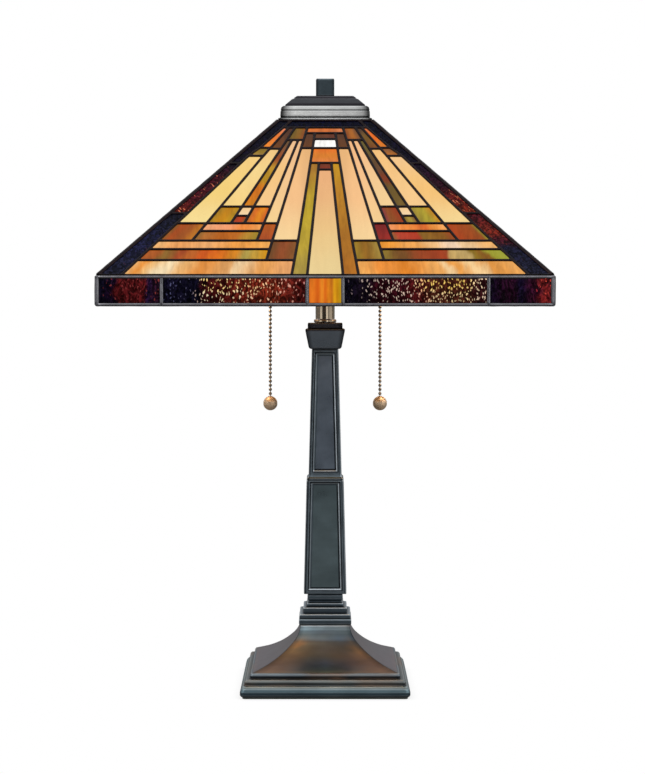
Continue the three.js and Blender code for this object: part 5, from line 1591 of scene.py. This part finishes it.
# -------------------------------------------------------------- stage and lights
def plane(name, size, loc, rot=(0, 0, 0)):
    me = bpy.data.meshes.new(name)
    s = size / 2
    me.from_pydata([(-s, -s, 0), (s, -s, 0), (s, s, 0), (-s, s, 0)], [], [(0, 1, 2, 3)])
    ob = bpy.data.objects.new(name, me)
    ob.location, ob.rotation_euler = loc, rot
    scene.collection.objects.link(ob)
    return ob


floor = plane("floor", 12.0, (0, 0, 0))
m = bpy.data.materials.new("white_sweep")
m.use_nodes = True
nt = m.node_tree
nt.nodes.clear()
out = nt.nodes.new("ShaderNodeOutputMaterial")
lp = nt.nodes.new("ShaderNodeLightPath")
ao = node(nt, "ShaderNodeAmbientOcclusion", samples=8, inputs={"Distance": 0.012})
em = nt.nodes.new("ShaderNodeEmission")
shade_k = map_range(nt, ao.outputs["AO"], 0.3, 0.9, 0.84, 1.0)
nt.links.new(shade_k, em.inputs["Color"])
df = node(nt, "ShaderNodeBsdfDiffuse", inputs={"Color": (0.22, 0.22, 0.22, 1)})
mx = nt.nodes.new("ShaderNodeMixShader")
nt.links.new(lp.outputs["Is Camera Ray"], mx.inputs[0])
nt.links.new(df.outputs[0], mx.inputs[1])
nt.links.new(em.outputs[0], mx.inputs[2])
nt.links.new(mx.outputs[0], out.inputs[0])
floor.data.materials.append(m)

world = bpy.data.worlds.new("studio")
scene.world = world
world.use_nodes = True
nt = world.node_tree
nt.nodes.clear()
out = nt.nodes.new("ShaderNodeOutputWorld")
tc = nt.nodes.new("ShaderNodeTexCoord")
sep = nt.nodes.new("ShaderNodeSeparateXYZ")
nt.links.new(tc.outputs["Generated"], sep.inputs[0])
up = map_range(nt, sep.outputs[2], 0.02, 0.75, 0.0, 1.0)
side_k = map_range(nt, math_node(nt, "ABSOLUTE", sep.outputs[0]), 0.45, 0.95, 0.0, 0.45)
az = node(nt, "ShaderNodeMath", operation="ARCTAN2")
nt.links.new(sep.outputs[0], az.inputs[0])
nt.links.new(math_node(nt, "MULTIPLY", sep.outputs[1], -1.0), az.inputs[1])
lvl = math_node(nt, "ADD", math_node(nt, "ADD", math_node(nt, "MULTIPLY", up, 0.85), side_k), 0.26)
for centre, half_w, soft, gain in ((-0.85, 0.13, 0.10, 0.9), (0.39, 0.08, 0.06, 1.9), (1.05, 0.5, 0.15, 0.15)):
    off = math_node(nt, "ABSOLUTE", math_node(nt, "SUBTRACT", az.outputs[0], centre))
    strip = map_range(nt, off, half_w, half_w + soft, gain, 0.0)
    tall = map_range(nt, math_node(nt, "ABSOLUTE", math_node(nt, "SUBTRACT", sep.outputs[2], 0.1)), 0.5, 0.8, 1.0, 0.0)
    lvl = math_node(nt, "ADD", lvl, math_node(nt, "MULTIPLY", strip, tall))
low = map_range(nt, math_node(nt, "ABSOLUTE", sep.outputs[2]), 0.05, 0.12, 1.0, 0.0)
for centre, half_w, soft, drop in ((-0.2, 0.26, 0.1, 0.85), (-1.75, 0.6, 0.15, 0.6), (1.95, 0.3, 0.15, 0.6)):
    off = math_node(nt, "ABSOLUTE", math_node(nt, "SUBTRACT", az.outputs[0], centre))
    gap = math_node(nt, "MULTIPLY", map_range(nt, off, half_w, half_w + soft, drop, 0.0), low)
    lvl = math_node(nt, "MULTIPLY", lvl, math_node(nt, "SUBTRACT", 1.0, gap))
lp = nt.nodes.new("ShaderNodeLightPath")
room = nt.nodes.new("ShaderNodeBackground")
nt.links.new(lvl, room.inputs[1])
room.inputs[0].default_value = (0.94, 0.97, 1.0, 1.0)
white = nt.nodes.new("ShaderNodeBackground")
white.inputs[0].default_value = (1, 1, 1, 1)
mx = nt.nodes.new("ShaderNodeMixShader")
nt.links.new(lp.outputs["Is Camera Ray"], mx.inputs[0])
nt.links.new(room.outputs[0], mx.inputs[1])
nt.links.new(white.outputs[0], mx.inputs[2])
nt.links.new(mx.outputs[0], out.inputs[0])


def area(name, loc, target, size, power, color=(1, 1, 1), size_y=None):
    d = bpy.data.lights.new(name, "AREA")
    d.energy, d.color, d.size = power, color, size
    if size_y:
        d.shape, d.size_y = "RECTANGLE", size_y
    ob = bpy.data.objects.new(name, d)
    ob.location = loc
    ob.rotation_euler = (Vector(target) - Vector(loc)).to_track_quat("-Z", "Y").to_euler()
    scene.collection.objects.link(ob)
    ob.visible_camera = False
    return ob


area("key", (-1.3, -1.7, 2.2), (0, 0, 0.25), 1.0, 16)
area("fill", (1.9, -1.2, 1.3), (0, 0, 0.25), 1.0, 8)
for sg in (-1, 1):
    area("bulb_glow", (sg * 0.10, 0, 0.384), (sg * 0.08, 0, 0), 0.06, 0.08, (1.0, 0.66, 0.42))
